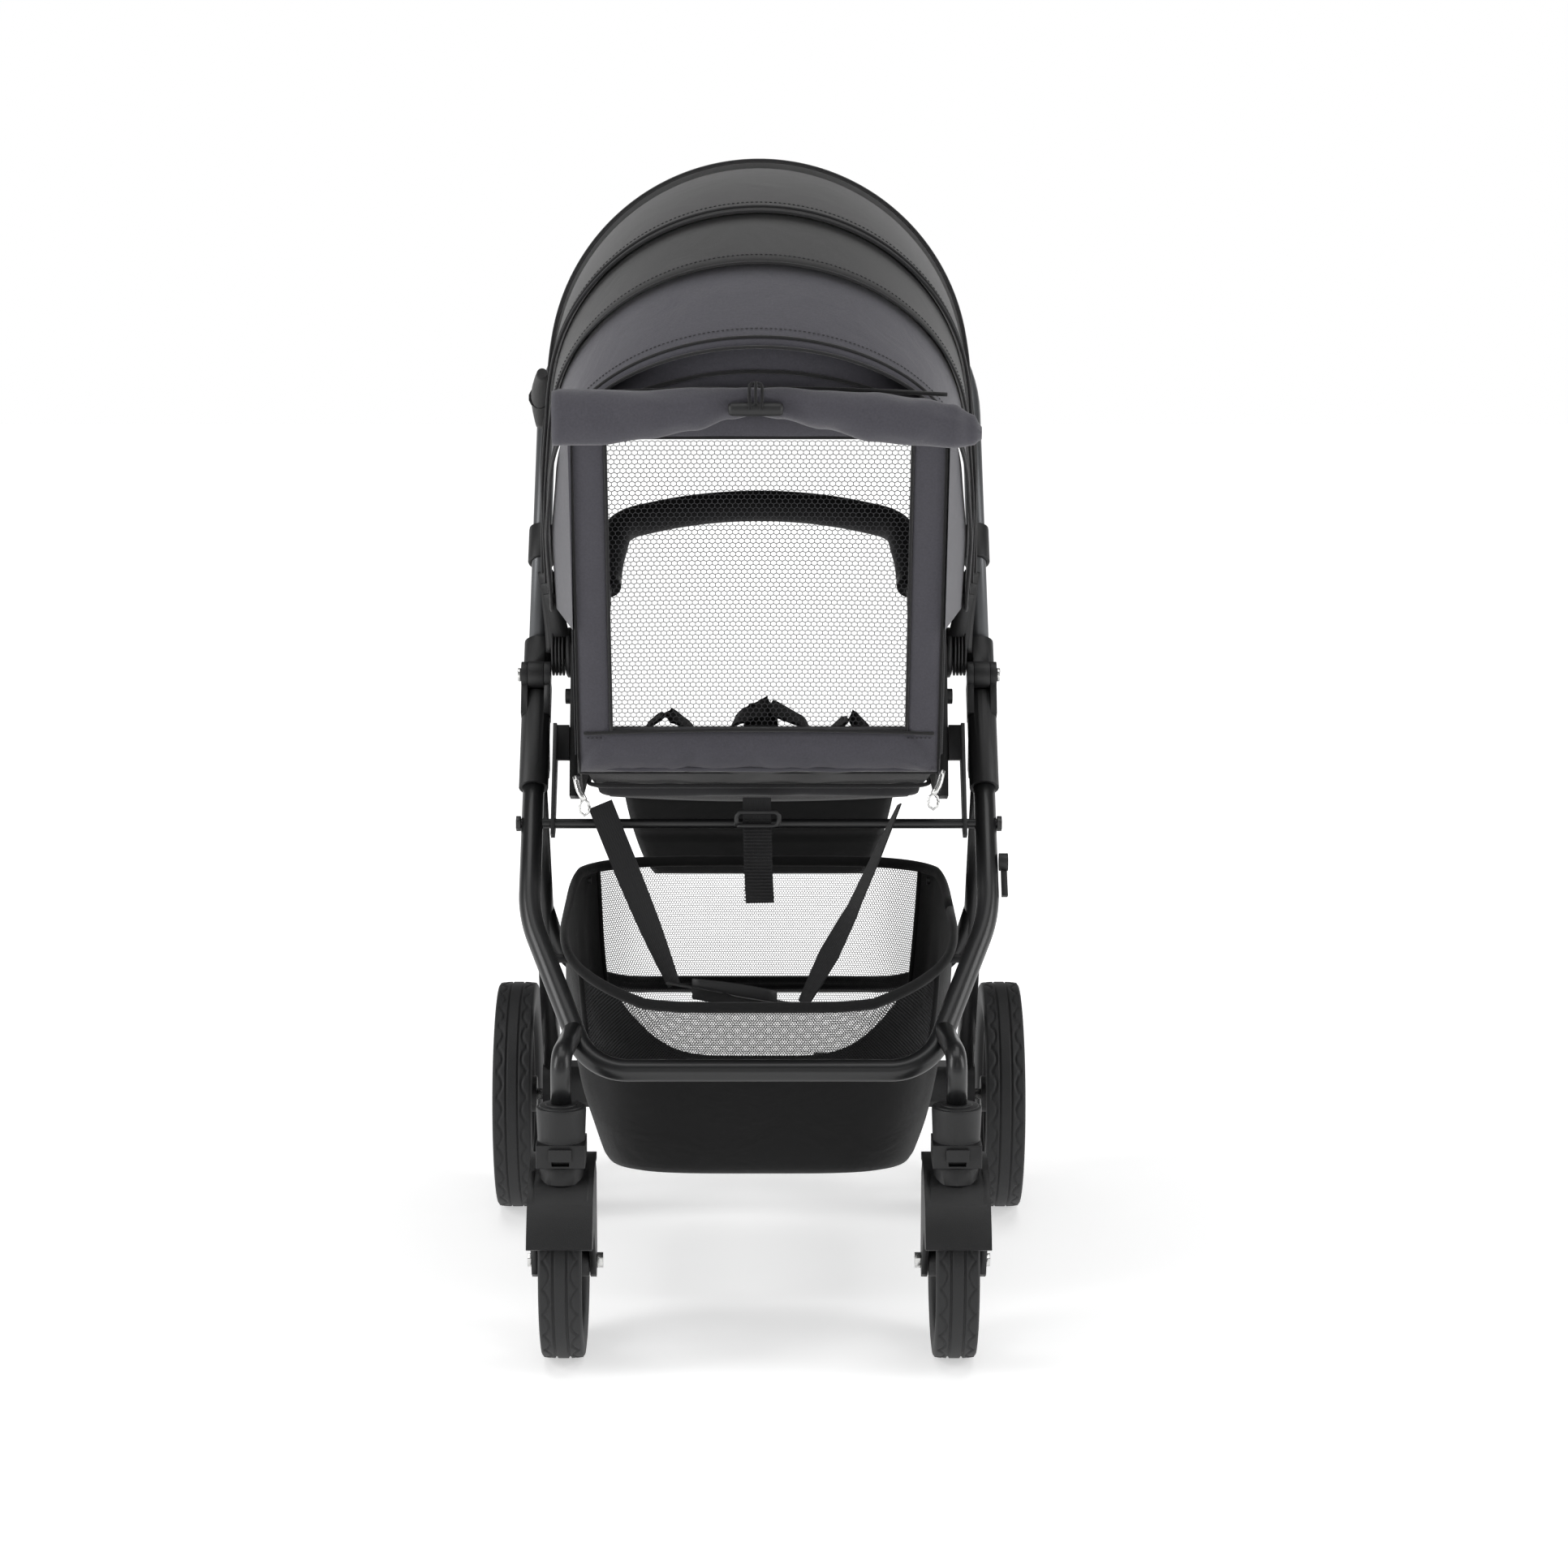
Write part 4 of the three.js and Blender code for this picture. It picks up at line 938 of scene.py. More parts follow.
def net_tree():
    """Hexagonal net: a sheared triangle grid turned to its dual, each edge a thin thread."""
    tree = bpy.data.node_groups.new("hexagon_net", "GeometryNodeTree")
    sockets = {}
    for label, kind, value in (
        ("Pitch", "NodeSocketFloat", 0.0056),
        ("Columns", "NodeSocketInt", 120),
        ("Rows", "NodeSocketInt", 70),
        ("Half Width", "NodeSocketFloat", 0.146),
        ("Half Height", "NodeSocketFloat", 0.147),
        ("Thread", "NodeSocketFloat", 0.0004),
        ("Material", "NodeSocketMaterial", None),
    ):
        socket = tree.interface.new_socket(name=label, in_out="INPUT", socket_type=kind)
        if value is not None:
            socket.default_value = value
        sockets[label] = socket.identifier
    tree.interface.new_socket(name="Geometry", in_out="OUTPUT", socket_type="NodeSocketGeometry")
    n, l = tree.nodes, tree.links
    inlet, outlet = n.new("NodeGroupInput"), n.new("NodeGroupOutput")

    def maths(operation, a, b):
        node = n.new("ShaderNodeMath")
        node.operation = operation
        for k, value in enumerate((a, b)):
            if hasattr(value, "links"):
                l.new(value, node.inputs[k])
            else:
                node.inputs[k].default_value = value
        return node.outputs[0]

    width = maths("MULTIPLY", inlet.outputs["Columns"], inlet.outputs["Pitch"])
    height = maths("MULTIPLY", inlet.outputs["Rows"], maths("MULTIPLY", inlet.outputs["Pitch"], 0.84))
    grid = n.new("GeometryNodeMeshGrid")
    l.new(width, grid.inputs["Size X"])
    l.new(height, grid.inputs["Size Y"])
    l.new(maths("ADD", inlet.outputs["Columns"], 1), grid.inputs["Vertices X"])
    l.new(maths("ADD", inlet.outputs["Rows"], 1), grid.inputs["Vertices Y"])
    here = n.new("GeometryNodeInputPosition")
    split = n.new("ShaderNodeSeparateXYZ")
    l.new(here.outputs[0], split.inputs[0])
    lean = maths("MULTIPLY", split.outputs["Y"], 0.5 / 0.84)
    move = n.new("ShaderNodeCombineXYZ")
    l.new(lean, move.inputs["X"])
    sheared = n.new("GeometryNodeSetPosition")
    l.new(grid.outputs["Mesh"], sheared.inputs["Geometry"])
    l.new(move.outputs[0], sheared.inputs["Offset"])
    triangles = n.new("GeometryNodeTriangulate")
    triangles.quad_method = "FIXED_ALTERNATE"
    l.new(sheared.outputs["Geometry"], triangles.inputs["Mesh"])
    dual = n.new("GeometryNodeDualMesh")
    l.new(triangles.outputs["Mesh"], dual.inputs["Mesh"])
    outside = n.new("GeometryNodeDeleteGeometry")
    spot = n.new("GeometryNodeInputPosition")
    spot_split = n.new("ShaderNodeSeparateXYZ")
    l.new(spot.outputs[0], spot_split.inputs[0])
    far_x = maths(
        "GREATER_THAN",
        maths("ABSOLUTE", spot_split.outputs["X"], 0),
        inlet.outputs["Half Width"],
    )
    far_y = maths(
        "GREATER_THAN",
        maths("ABSOLUTE", spot_split.outputs["Y"], 0),
        inlet.outputs["Half Height"],
    )
    l.new(dual.outputs[0], outside.inputs["Geometry"])
    l.new(maths("MAXIMUM", far_x, far_y), outside.inputs["Selection"])
    threads = n.new("GeometryNodeMeshToCurve")
    l.new(outside.outputs["Geometry"], threads.inputs["Mesh"])
    section = n.new("GeometryNodeCurvePrimitiveCircle")
    section.inputs["Resolution"].default_value = 3
    l.new(inlet.outputs["Thread"], section.inputs["Radius"])
    laid = n.new("GeometryNodeCurveToMesh")
    l.new(threads.outputs[0], laid.inputs["Curve"])
    l.new(section.outputs[0], laid.inputs["Profile Curve"])
    real = n.new("GeometryNodeRealizeInstances")
    l.new(laid.outputs[0], real.inputs[0])
    paint = n.new("GeometryNodeSetMaterial")
    l.new(real.outputs[0], paint.inputs["Geometry"])
    l.new(inlet.outputs["Material"], paint.inputs["Material"])
    l.new(paint.outputs[0], outlet.inputs[0])
    return tree, sockets


def built_by(name, tree, sockets, values, source=None):
    """The mesh that a node tree makes, with its inputs set by identifier."""
    piece = link(name, source or bpy.data.meshes.new(name))
    nodes_modifier = piece.modifiers.new("build", "NODES")
    nodes_modifier.node_group = tree
    for label, value in values.items():
        nodes_modifier[sockets[label]] = value
    return finished_mesh(piece)


net_thread = finish_with_grain("net_thread", (0.03, 0.03, 0.033), 1800, 0.7, 0.1, 0.4)
hexagon_net, net_sockets = net_tree()
window_net = built_by(
    "window_net",
    hexagon_net,
    net_sockets,
    {
        "Pitch": 0.0056,
        "Columns": 120,
        "Rows": 66,
        "Half Width": 0.147,
        "Half Height": 0.158,
        "Thread": 0.00042,
        "Material": net_thread,
    },
)
middle_z = (603 + 896) / 2
net_points = np.array([v.co for v in window_net.data.vertices])
placed = []
for x, y, z in net_points:
    spot = on_back(x * 1000, middle_z, 1.5) + BACK_UP * y - BACK_IN * z
    belly = 4 * (1 - (x / 0.147) ** 2) * (1 - min(1, (y / 0.158) ** 2))
    placed.append(spot + BACK_IN * (belly / 1000))
window_net.data.vertices.foreach_set("co", np.array(placed).ravel())
dress(window_net, net_thread, "seat", "mesh", "back_window")


def stitch_tree():
    """Short threads laid end to end along the edges of the source mesh."""
    tree = bpy.data.node_groups.new("laid_along", "GeometryNodeTree")
    sockets = {}
    source = tree.interface.new_socket(name="Geometry", in_out="INPUT", socket_type="NodeSocketGeometry")
    sockets["Geometry"] = source.identifier
    for label, kind, value in (
        ("Spacing", "NodeSocketFloat", 0.004),
        ("Length", "NodeSocketFloat", 0.0026),
        ("Width", "NodeSocketFloat", 0.0008),
        ("Depth", "NodeSocketFloat", 0.0008),
        ("Material", "NodeSocketMaterial", None),
    ):
        socket = tree.interface.new_socket(name=label, in_out="INPUT", socket_type=kind)
        if value is not None:
            socket.default_value = value
        sockets[label] = socket.identifier
    tree.interface.new_socket(name="Geometry", in_out="OUTPUT", socket_type="NodeSocketGeometry")
    n, l = tree.nodes, tree.links
    inlet, outlet = n.new("NodeGroupInput"), n.new("NodeGroupOutput")
    line = n.new("GeometryNodeMeshToCurve")
    l.new(inlet.outputs["Geometry"], line.inputs["Mesh"])
    even = n.new("GeometryNodeResampleCurve")
    even.mode = "LENGTH"
    l.new(line.outputs[0], even.inputs["Curve"])
    l.new(inlet.outputs["Spacing"], even.inputs["Length"])
    tangent = n.new("GeometryNodeInputTangent")
    turn = n.new("FunctionNodeAlignEulerToVector")
    turn.axis = "X"
    l.new(tangent.outputs[0], turn.inputs["Vector"])
    ball = n.new("GeometryNodeMeshUVSphere")
    ball.inputs["Segments"].default_value = 6
    ball.inputs["Rings"].default_value = 4
    ball.inputs["Radius"].default_value = 0.5
    size = n.new("ShaderNodeCombineXYZ")
    l.new(inlet.outputs["Length"], size.inputs["X"])
    l.new(inlet.outputs["Width"], size.inputs["Y"])
    l.new(inlet.outputs["Depth"], size.inputs["Z"])
    copies = n.new("GeometryNodeInstanceOnPoints")
    l.new(even.outputs[0], copies.inputs["Points"])
    l.new(ball.outputs["Mesh"], copies.inputs["Instance"])
    l.new(turn.outputs[0], copies.inputs["Rotation"])
    l.new(size.outputs[0], copies.inputs["Scale"])
    real = n.new("GeometryNodeRealizeInstances")
    l.new(copies.outputs[0], real.inputs[0])
    paint = n.new("GeometryNodeSetMaterial")
    l.new(real.outputs[0], paint.inputs["Geometry"])
    l.new(inlet.outputs["Material"], paint.inputs["Material"])
    l.new(paint.outputs[0], outlet.inputs[0])
    return tree, sockets


laid_along, laid_sockets = stitch_tree()
sewing_thread = finish_with_grain("sewing_thread", (0.012, 0.012, 0.014), 2000, 0.6, 0.1, 0.3)


def laid(name, paths, body, slot, material, spacing, size):
    """Stitches or zip teeth along one or more paths of points."""
    points, edges = [], []
    for path in paths:
        start = len(points)
        points += [tuple(p) for p in path]
        edges += [(start + i, start + i + 1) for i in range(len(path) - 1)]
    source = bpy.data.meshes.new(name)
    source.from_pydata(points, edges, [])
    values = {
        "Spacing": spacing,
        "Length": size[0],
        "Width": size[1],
        "Depth": size[2],
        "Material": material,
    }
    return dress(built_by(name, laid_along, laid_sockets, values, source), material, body, slot)


seams = []
for x in (-166, 166):
    seams.append(
        [on_back(x, z, -2.6 - 1.3 * wrinkle(on_back(x, z), 26, 3)) for z in np.linspace(606, 892, 60)]
    )
seams.append([on_back(x, 596, -5.0) for x in np.linspace(-168, 168, 60)])
laid("back_stitches", seams, "seat", "flap", sewing_thread, 0.0042, (0.003, 0.0012, 0.0012))

# ---- Cabin sides --------------------------------------------------------
# Charcoal cloth panels close the cabin from the back to the armrest. Each is sewn to the
# back along a coil zip and bellies outwards a little between its edges.
def along(corners, count):
    return resampled_count([Vector((0, a, b)) for a, b in corners], count)


def resampled_count(line, count):
    lengths = [0.0]
    for a, b in zip(line, line[1:]):
        lengths.append(lengths[-1] + (b - a).length)
    out, i = [], 0
    for k in range(count + 1):
        want = lengths[-1] * k / count
        while i < len(line) - 2 and lengths[i + 1] < want:
            i += 1
        span = lengths[i + 1] - lengths[i]
        out.append(line[i].lerp(line[i + 1], (want - lengths[i]) / span if span else 0))
    return out


front_edge = along([(150, 529), (318, 529), (318, 640), (262, 700), (60, 848), (16, 868)], 54)
back_edge = along([(136, 545), (13, 868)], 54)
coil = finish_with_grain("zip_coil", (0.016, 0.016, 0.018), 1500, 0.45, 0.1, 0.3)
for side, sign in (("r", 1), ("l", -1)):
    sheets = []
    for skin in (0.0, -1.6):
        sheet_rows = []
        for i, (a, b) in enumerate(zip(back_edge, front_edge)):
            row = []
            for j in range(25):
                t = j / 24
                p = a.lerp(b, t)
                rise = math.sin(math.pi * t) ** 0.6 * math.sin(
                    math.pi * min(1, i / 54 * 0.96 + 0.02)
                ) ** 0.6
                bulge = 176.2 + 3.2 * rise + 1.4 * wrinkle(
                    Vector((sign, p.y / 60, p.z / 90)),
                    1,
                    7,
                ) * rise + skin
                row.append(at(sign * bulge, p.y, p.z))
            sheet_rows.append(row if sign > 0 else row[::-1])
        sheets.append(sheet_rows)
    rows = [outer + inner[::-1] for outer, inner in zip(*sheets)]
    panel = link("cabin_cloth_" + side, lay_grid("cabin_cloth", rows, True, True))
    dress(panel, charcoal, "seat", "canopy", "cabin_side_" + side)
    zip_path = [on_back(sign * 180.2, z, 4.5) for z in np.linspace(575, 900, 80)]
    laid("zip_teeth_" + side, [zip_path], "seat", "webbing", coil, 0.0021, (0.0017, 0.006, 0.0022))
    tape = [on_back(sign * 178.2, z, 5.0) for z in np.linspace(570, 905, 60)]
    flat = [(-0.0006, -0.008), (0.0006, -0.008), (0.0006, 0.008), (-0.0006, 0.008)]
    dress(
        link("zip_tape_" + side, lay_grid("zip_tape", section_rows(tape, flat), True, True)),
        webbing,
        "seat",
        "webbing",
    )
    hem = [at(sign * 177.5, p.y, p.z) for p in front_edge]
    cord_line("cabin_hem_" + side, hem, 2.2, piping_cloth, "seat", "canopy")

# ---- Gathered flap under the back ---------------------------------------
# A loose charcoal flap closes the gap between the window band and the seat floor. It
# tapers to the pad and is piped along its upper edge.
def lower_flap():
    rows = []
    for i in range(15):
        t = i / 14
        half = 172 - 22 * t ** 1.6
        row = []
        for j in range(61):
            u = -1 + j / 30
            x = half * u
            rear = 124 + 74 * t - 9 * math.sin(math.pi * t) - 6 * (1 - u * u)
            up = 562 - 34 * t - 8 * t * t - 4 * t * (1 - u * u)
            fold = 2.2 * wrinkle(
                Vector((x / 34, t * 1.4, 0.5)),
                1,
                9,
            ) * math.sin(math.pi * min(1, t + 0.15))
            row.append(at(x, rear + fold, up + fold))
        rows.append(row)
    return rows


flap_rows = lower_flap()
under_rows = [[p + Vector((0, 0.0022, 0.0022)) for p in row] for row in flap_rows]
flap_piece = link(
    "lower_flap",
    lay_grid("lower_flap", [a + b[::-1] for a, b in zip(flap_rows, under_rows)], True, True),
)
dress(flap_piece, charcoal, "seat", "canopy", "bottom_flap")
flap_edge = [p + Vector((0, -0.001, -0.0005)) for p in flap_rows[0]]
cord_line("lower_flap_piping", flap_edge, 2.6, slate, "seat", "flap")
edge_end = [p + Vector((0, 0, -0.001)) for p in flap_rows[9]]
laid("lower_flap_stitches", [edge_end], "seat", "canopy", sewing_thread, 0.0042, (0.003, 0.0011, 0.0011))

# ---- Rolled window cover ------------------------------------------------
# The window's cover is rolled up over the net and held by one cord loop round a toggle.
# The roll is pinched at the toggle, blunt at one end and drooping at the other.
ROLL = [
    (-193, -30, 917, 25, 11),
    (-186, -31, 918, 26, 14),
    (-150, -33, 918, 25, 16),
    (-105, -36, 921, 22, 17),
    (-60, -38, 926, 19, 16),
    (-26, -38, 931, 14, 13),
    (-4, -37, 934, 12, 11),
    (20, -38, 932, 14, 13),
    (60, -38, 926, 18, 16),
    (105, -36, 919, 22, 17),
    (150, -34, 914, 22, 16),
    (180, -32, 910, 19, 13),
    (200, -29, 906, 13, 8),
    (208, -27, 903, 5, 3),
]


def roll_at(x):
    for a, b in zip(ROLL, ROLL[1:]):
        if a[0] <= x <= b[0]:
            t = (x - a[0]) / (b[0] - a[0])
            t = t * t * (3 - 2 * t)
            return [a[k] + (b[k] - a[k]) * t for k in range(1, 5)]
    return ROLL[-1][1:]


def cover_roll():
    rows = []
    for i in range(121):
        x = -193 + 401 * i / 120
        rear, up, tall, deep = roll_at(x)
        near = math.exp(-(((x + 4) / 48) ** 2))
        row = []
        for k in range(40):
            a = TWO_PI * k / 40
            twist = 0.9 * near * math.sin(a * 3 + x / 9)
            lap = 1.3 if 0.3 < a < 2.6 else 0.0
            fold = 1.8 * wrinkle(
                Vector((x / 42, math.cos(a) * 1.3, math.sin(a) * 1.3)),
                1,
                4,
            ) * min(1, tall / 12)
            point = at(
                x,
                rear - (deep + lap + fold + twist) * math.cos(a),
                up + (tall + lap + fold + twist) * math.sin(a),
            )
            row.append(point)
        rows.append(row)
    return lay_grid("window_cover_roll", rows, True, True)


cover = dress(link("window_cover_roll", cover_roll()), slate, "seat", "flap", "rolled_flap")
hang = [
    at(
        x,
        -16 - 4 * (1 - (x / 190) ** 2),
        938 + 7 * (1 - (x / 190) ** 2),
    ) for x in np.linspace(-176, 176, 60)
]
cord_line("cover_seam", hang, 2.0, piping_cloth, "seat", "flap")

toggle_rows = []
for x, r in ((-25.5, 3.5), (-25, 5.2), (-22, 6.3), (-8, 6.6), (8, 6.6), (22, 6.3), (25, 5.2), (25.5, 3.5)):
    toggle_rows.append(
        [
            at(
                x - 3,
                -55 + r * math.cos(a),
                928 + r * math.sin(a),
            ) for a in np.linspace(0, TWO_PI, 24, endpoint=False)
        ]
    )
toggle = link("cover_toggle", lay_grid("cover_toggle", toggle_rows[::-1], True, True))
dress(toggle, moulded, "seat", "plastic")
loop_path = [
    at(-8, -61, 928),
    at(-9, -60, 938),
    at(-9, -52, 950),
    at(-3, -42, 955),
    at(3, -52, 950),
    at(3, -60, 938),
    at(2, -61, 928),
]
cord_line("toggle_cord", rounded(loop_path, [6, 8, 6, 8, 6], 5), 1.5, webbing, "seat", "webbing")
cord_line(
    "toggle_cord_wrap",
    [at(-3, -61 + 3 * abs(t), 934 + 20 * t) for t in (0, 0.5, 1)],
    1.5,
    webbing,
    "seat",
    "webbing",
)

# ---- Straps and harness -------------------------------------------------
# Flat ribbed webbing: two recline straps meet at a ladder adjuster under the seat, and a
# pull strap hangs from a slot frame. The harness lies loose at the foot of the window.
def ribbon(name, line, half, turns, thick=0.7):
    """A strap of webbing along the line, its flat side turned by the given angles."""
    line = resampled(line, 5)
    rows = []
    for i, here in enumerate(line):
        t = i / (len(line) - 1)
        ahead = line[min(i + 1, len(line) - 1)] - line[max(i - 1, 0)]
        ahead.normalize()
        side = Vector((1, 0, 0)) - ahead * ahead.x
        side.normalize()
        spot = min(len(turns) - 2, int(t * (len(turns) - 1)))
        part = t * (len(turns) - 1) - spot
        angle = math.radians(turns[spot] + (turns[spot + 1] - turns[spot]) * part)
        side = Matrix.Rotation(angle, 3, ahead) @ side
        face = ahead.cross(side)
        w, h = half / 1000, thick / 1000
        shape = [(-w, -h), (0, -h * 1.1), (w, -h), (w, h), (0, h * 1.1), (-w, h)]
        rows.append([here + side * a + face * b for a, b in shape])
    mesh = lay_grid(name, rows, True, True)
    for polygon in mesh.polygons:
        polygon.use_smooth = False
    return link(name, mesh)


left_strap = ribbon(
    "recline_strap_left",
    [at(-158, 142, 522), at(-128, 118, 452), at(-84, 92, 349)],
    12.5,
    [4, 8, 30, 62],
)
dress(left_strap, webbing, "seat", "webbing", "recline_straps")
right_strap = ribbon(
    "recline_strap_right",
    [at(140, 142, 522), at(112, 124, 462), at(92, 110, 420), at(44, 90, 331)],
    12.5,
    [84, 70, 62, 40, 66],
)
dress(right_strap, webbing, "seat", "webbing")
cross_strap = ribbon(
    "recline_strap_cross",
    [at(-92, 90, 352), at(-30, 88, 341), at(48, 90, 327)],
    9,
    [80, 84, 78],
)
dress(cross_strap, webbing, "seat", "webbing")
adjuster_rows = []
for t in np.linspace(0, 1, 9):
    middle = at(-66 + 84 * t, 86, 347 - 12.5 * t)
    swell = 1 + 0.14 * math.sin(math.pi * t)
    adjuster_rows.append(
        [
            middle + Vector(
                (0, 0.0024 * math.cos(a), 0.0105 * swell * math.sin(a))
            ) for a in np.linspace(0, TWO_PI, 16, endpoint=False)
        ]
    )
dress(
    link("strap_adjuster", lay_grid("strap_adjuster", adjuster_rows[::-1], True, True)),
    moulded,
    "seat",
    "plastic",
)

pull_line = [
    at(-2, 124, 532),
    at(-2, 121, 516),
    at(-1, 119, 470),
    at(1, 121, 428),
    at(1, 125, 420),
    at(1, 129, 432),
]
pull = ribbon("pull_strap_webbing", rounded(pull_line, [14, 40, 12, 4], 6), 14, [0, 0, 2, -3, 0], 1.0)
dress(pull, webbing, "seat", "webbing", "pull_strap")
rib_paths = [
    [at(x, 117.4 + 3.4 * ((z - 470) / 50) ** 2, z) for x in (-14, 12)] for z in np.arange(429, 512, 3.4)
]
laid("pull_strap_ribs", rib_paths, "seat", "webbing", webbing, 0.0013, (0.0016, 0.0016, 0.0014))
frame_path = rounded(
    [at(-22, 116, 505), at(-22, 114, 519), at(20, 114, 519), at(20, 116, 505), at(-22, 116, 505)],
    [4, 4, 4],
    5,
)
cord_line("strap_slot_frame", frame_path, 2.2, moulded, "seat", "plastic")

HARNESS = [
    (
        "harness_left",
        [(-122, 176, 560), (-112, 168, 596), (-92, 166, 612), (-70, 170, 596), (-44, 182, 562)],
        12,
        0.132,
    ),
    (
        "harness_right",
        [(60, 176, 560), (72, 168, 592), (92, 166, 609), (110, 170, 592), (122, 182, 562)],
        13,
        0.116,
    ),
    (
        "harness_middle",
        [(-38, 172, 560), (-24, 166, 604), (10, 162, 618), (46, 166, 600), (66, 178, 562)],
        17,
        0.167,
    ),
]
for name, points, half, cut_length in HARNESS:
    line = rounded([at(*p) for p in points], [14] * (len(points) - 2), 6)
    strap = ribbon(name, line, half, [70, 84, 96, 84, 70], 1.4)
    dress(strap, webbing, "seat", "webbing")
buckle_rows = []
for t in np.linspace(0, 1, 11):
    grow = (1 - (2 * t - 1) ** 6) * (1 - 0.25 * t)
    buckle_rows.append(
        [
            at(
                2 + 20 * grow * math.cos(a),
                178 + 9 * grow * math.sin(a),
                566 + 58 * t,
            ) for a in np.linspace(0, TWO_PI, 20, endpoint=False)
        ]
    )
dress(
    link("harness_buckle", lay_grid("harness_buckle", buckle_rows[1:-1], True, True)),
    moulded,
    "seat",
    "plastic",
)

for side, sign, drop in (("r", 1, 0), ("l", -1, 6)):
    slider = [
        at(sign * 181, 118, 560 - drop),
        at(sign * 178, 112, 548 - drop),
        at(sign * 172, 108, 538 - drop),
    ]
    cord_line("zip_slider_" + side, slider, 3.2, plated, "seat", "silver")
    pull_ring = [
        at(
            sign * 172 + 5 * math.cos(a),
            107,
            531 - drop + 8 * math.sin(a),
        ) for a in np.linspace(0, TWO_PI, 22)
    ]
    cord_line("zip_pull_" + side, pull_ring, 1.3, plated, "seat", "silver")

# ---- Legrest ------------------------------------------------------------
# A board padded with thin foam in basket cloth hangs from the front of the seat frame. Its
# cover is sewn across in two channels, and its edge is crowned.
def padded_board(name, foot, head, half, thick, channels):
    """A crowned board between two (rear, up) edges."""
    span = Vector((0, head[0] - foot[0], head[1] - foot[1]))
    normal = Vector((0, span.z, -span.y)).normalized()
    rows = []
    for i in range(41):
        t = i / 40
        row = []
        for face in (1, -1):
            columns = range(33) if face > 0 else range(32, -1, -1)
            for j in columns:
                u = -1 + j / 16
                round_off = (1 - abs(u) ** 10) ** 0.35 * (1 - abs(2 * t - 1) ** 12) ** 0.35
                quilt = 1 - 0.45 * sum(math.exp(-(((t - c) / 0.02) ** 2)) for c in channels)
                corner = half * (1 - 0.2 * t * t) * (1 - 0.04 * abs(2 * t - 1) ** 8)
                middle = Vector((corner * u, foot[0], foot[1])) + span * t
                point = middle + normal * (face * (thick / 2 * round_off * quilt + 0.4))
                row.append(at(*point))
        rows.append(row)
    return link(name, lay_grid(name, rows, True, True))


leg_board = padded_board("legrest_pad", (439, 527), (523, 377), 149, 11, (0.33, 0.66))
dress(leg_board, basket_cloth, "leg_rest", "basket", "legrest")

# ---- Hood ---------------------------------------------------------------
# Charcoal cloth over spring hoops on one pair of hubs. Each panel is a continuous curved
# sheet with its lower sides flared, piped or seamed along its edges and hemmed at its feet.
HUB = (300.0, 653.0)
HOOD_REACH = 500.0
HOOD_HALF = 213.0
HOOD_FOOT = 72.0


def hoop_point(phi, along_hoop, layer, lift=0.0, sink=0.0):
    """A point on a hoop: phi degrees towards the window, along_hoop 0 to 1 from right to left."""
    half = HOOD_HALF - 3.5 * layer - 1.5 + lift
    reach = HOOD_REACH - 7 * layer + lift - sink
    rise = reach - half
    leg = rise - HOOD_FOOT
    arc = math.pi * half
    s = along_hoop * (2 * leg + arc)
    if s < leg:
        x, h = half, HOOD_FOOT + s
    elif s > leg + arc:
        x, h = -half, HOOD_FOOT + (2 * leg + arc - s)
    else:
        a = (s - leg) / half
        x, h = half * math.cos(a), rise + half * math.sin(a)
    flare = max(0.0, min(1.0, (rise + 40 - h) / 150))
    x += math.copysign(10 * flare * flare * (3 - 2 * flare), x)
    turn = math.radians(phi)
    return at(x, HUB[0] - h * math.sin(turn), HUB[1] + h * math.cos(turn))


def hood_panel(name, start, end, layer, body, material, cad_node, sag, wrinkles, count=96):
    steps = max(6, round(abs(end - start) / 1.6))
    outer, inner = [], []
    for i in range(steps + 1):
        t = i / steps
        phi = start + (end - start) * t
        dip = sag * math.sin(math.pi * t)
        for rows, lift in ((outer, 0.0), (inner, -1.5)):
            row = []
            for j in range(count + 1):
                u = j / count
                room = 0.25 + 0.75 * math.sin(math.pi * u)
                low = max(0.0, 1 - min(u, 1 - u) / 0.22)
                fold = wrinkles * math.sin(math.pi * t) * wrinkle(Vector((u * 9, phi / 15, layer)), 1, 11)
                fold += wrinkles * 1.3 * low * math.sin(math.pi * t) * wrinkle(
                    Vector((u * 24, phi / 7, layer + 3)),
                    1,
                    2,
                )
                row.append(hoop_point(phi, u, layer, lift + (fold - dip) * room))
            rows.append(row)
    rows = [a + b[::-1] for a, b in zip(outer, inner)]
    if end < start:
        rows = rows[::-1]
    piece = link(name, lay_grid(name, rows, True, True))
    return dress(piece, material, body, "flap" if material is slate else "canopy", cad_node)


PANELS = [
    ("hood_fixed", 46, 31, 3, "seat", slate, "canopy_fixed", 1.2, 1.2),
    ("hood_mid", 33, 21, 2, "hood_mid", charcoal, "canopy_mid", 1.0, 0.7),
    ("hood_top", 23, -2, 1, "hood_top", charcoal, "canopy_top", 1.2, 0.7),
    ("hood_visor", 0, -38, 0, "hood_visor", charcoal, "canopy_visor", 1.6, 0.9),
]
for panel in PANELS:
    cloth_piece = hood_panel(*panel)

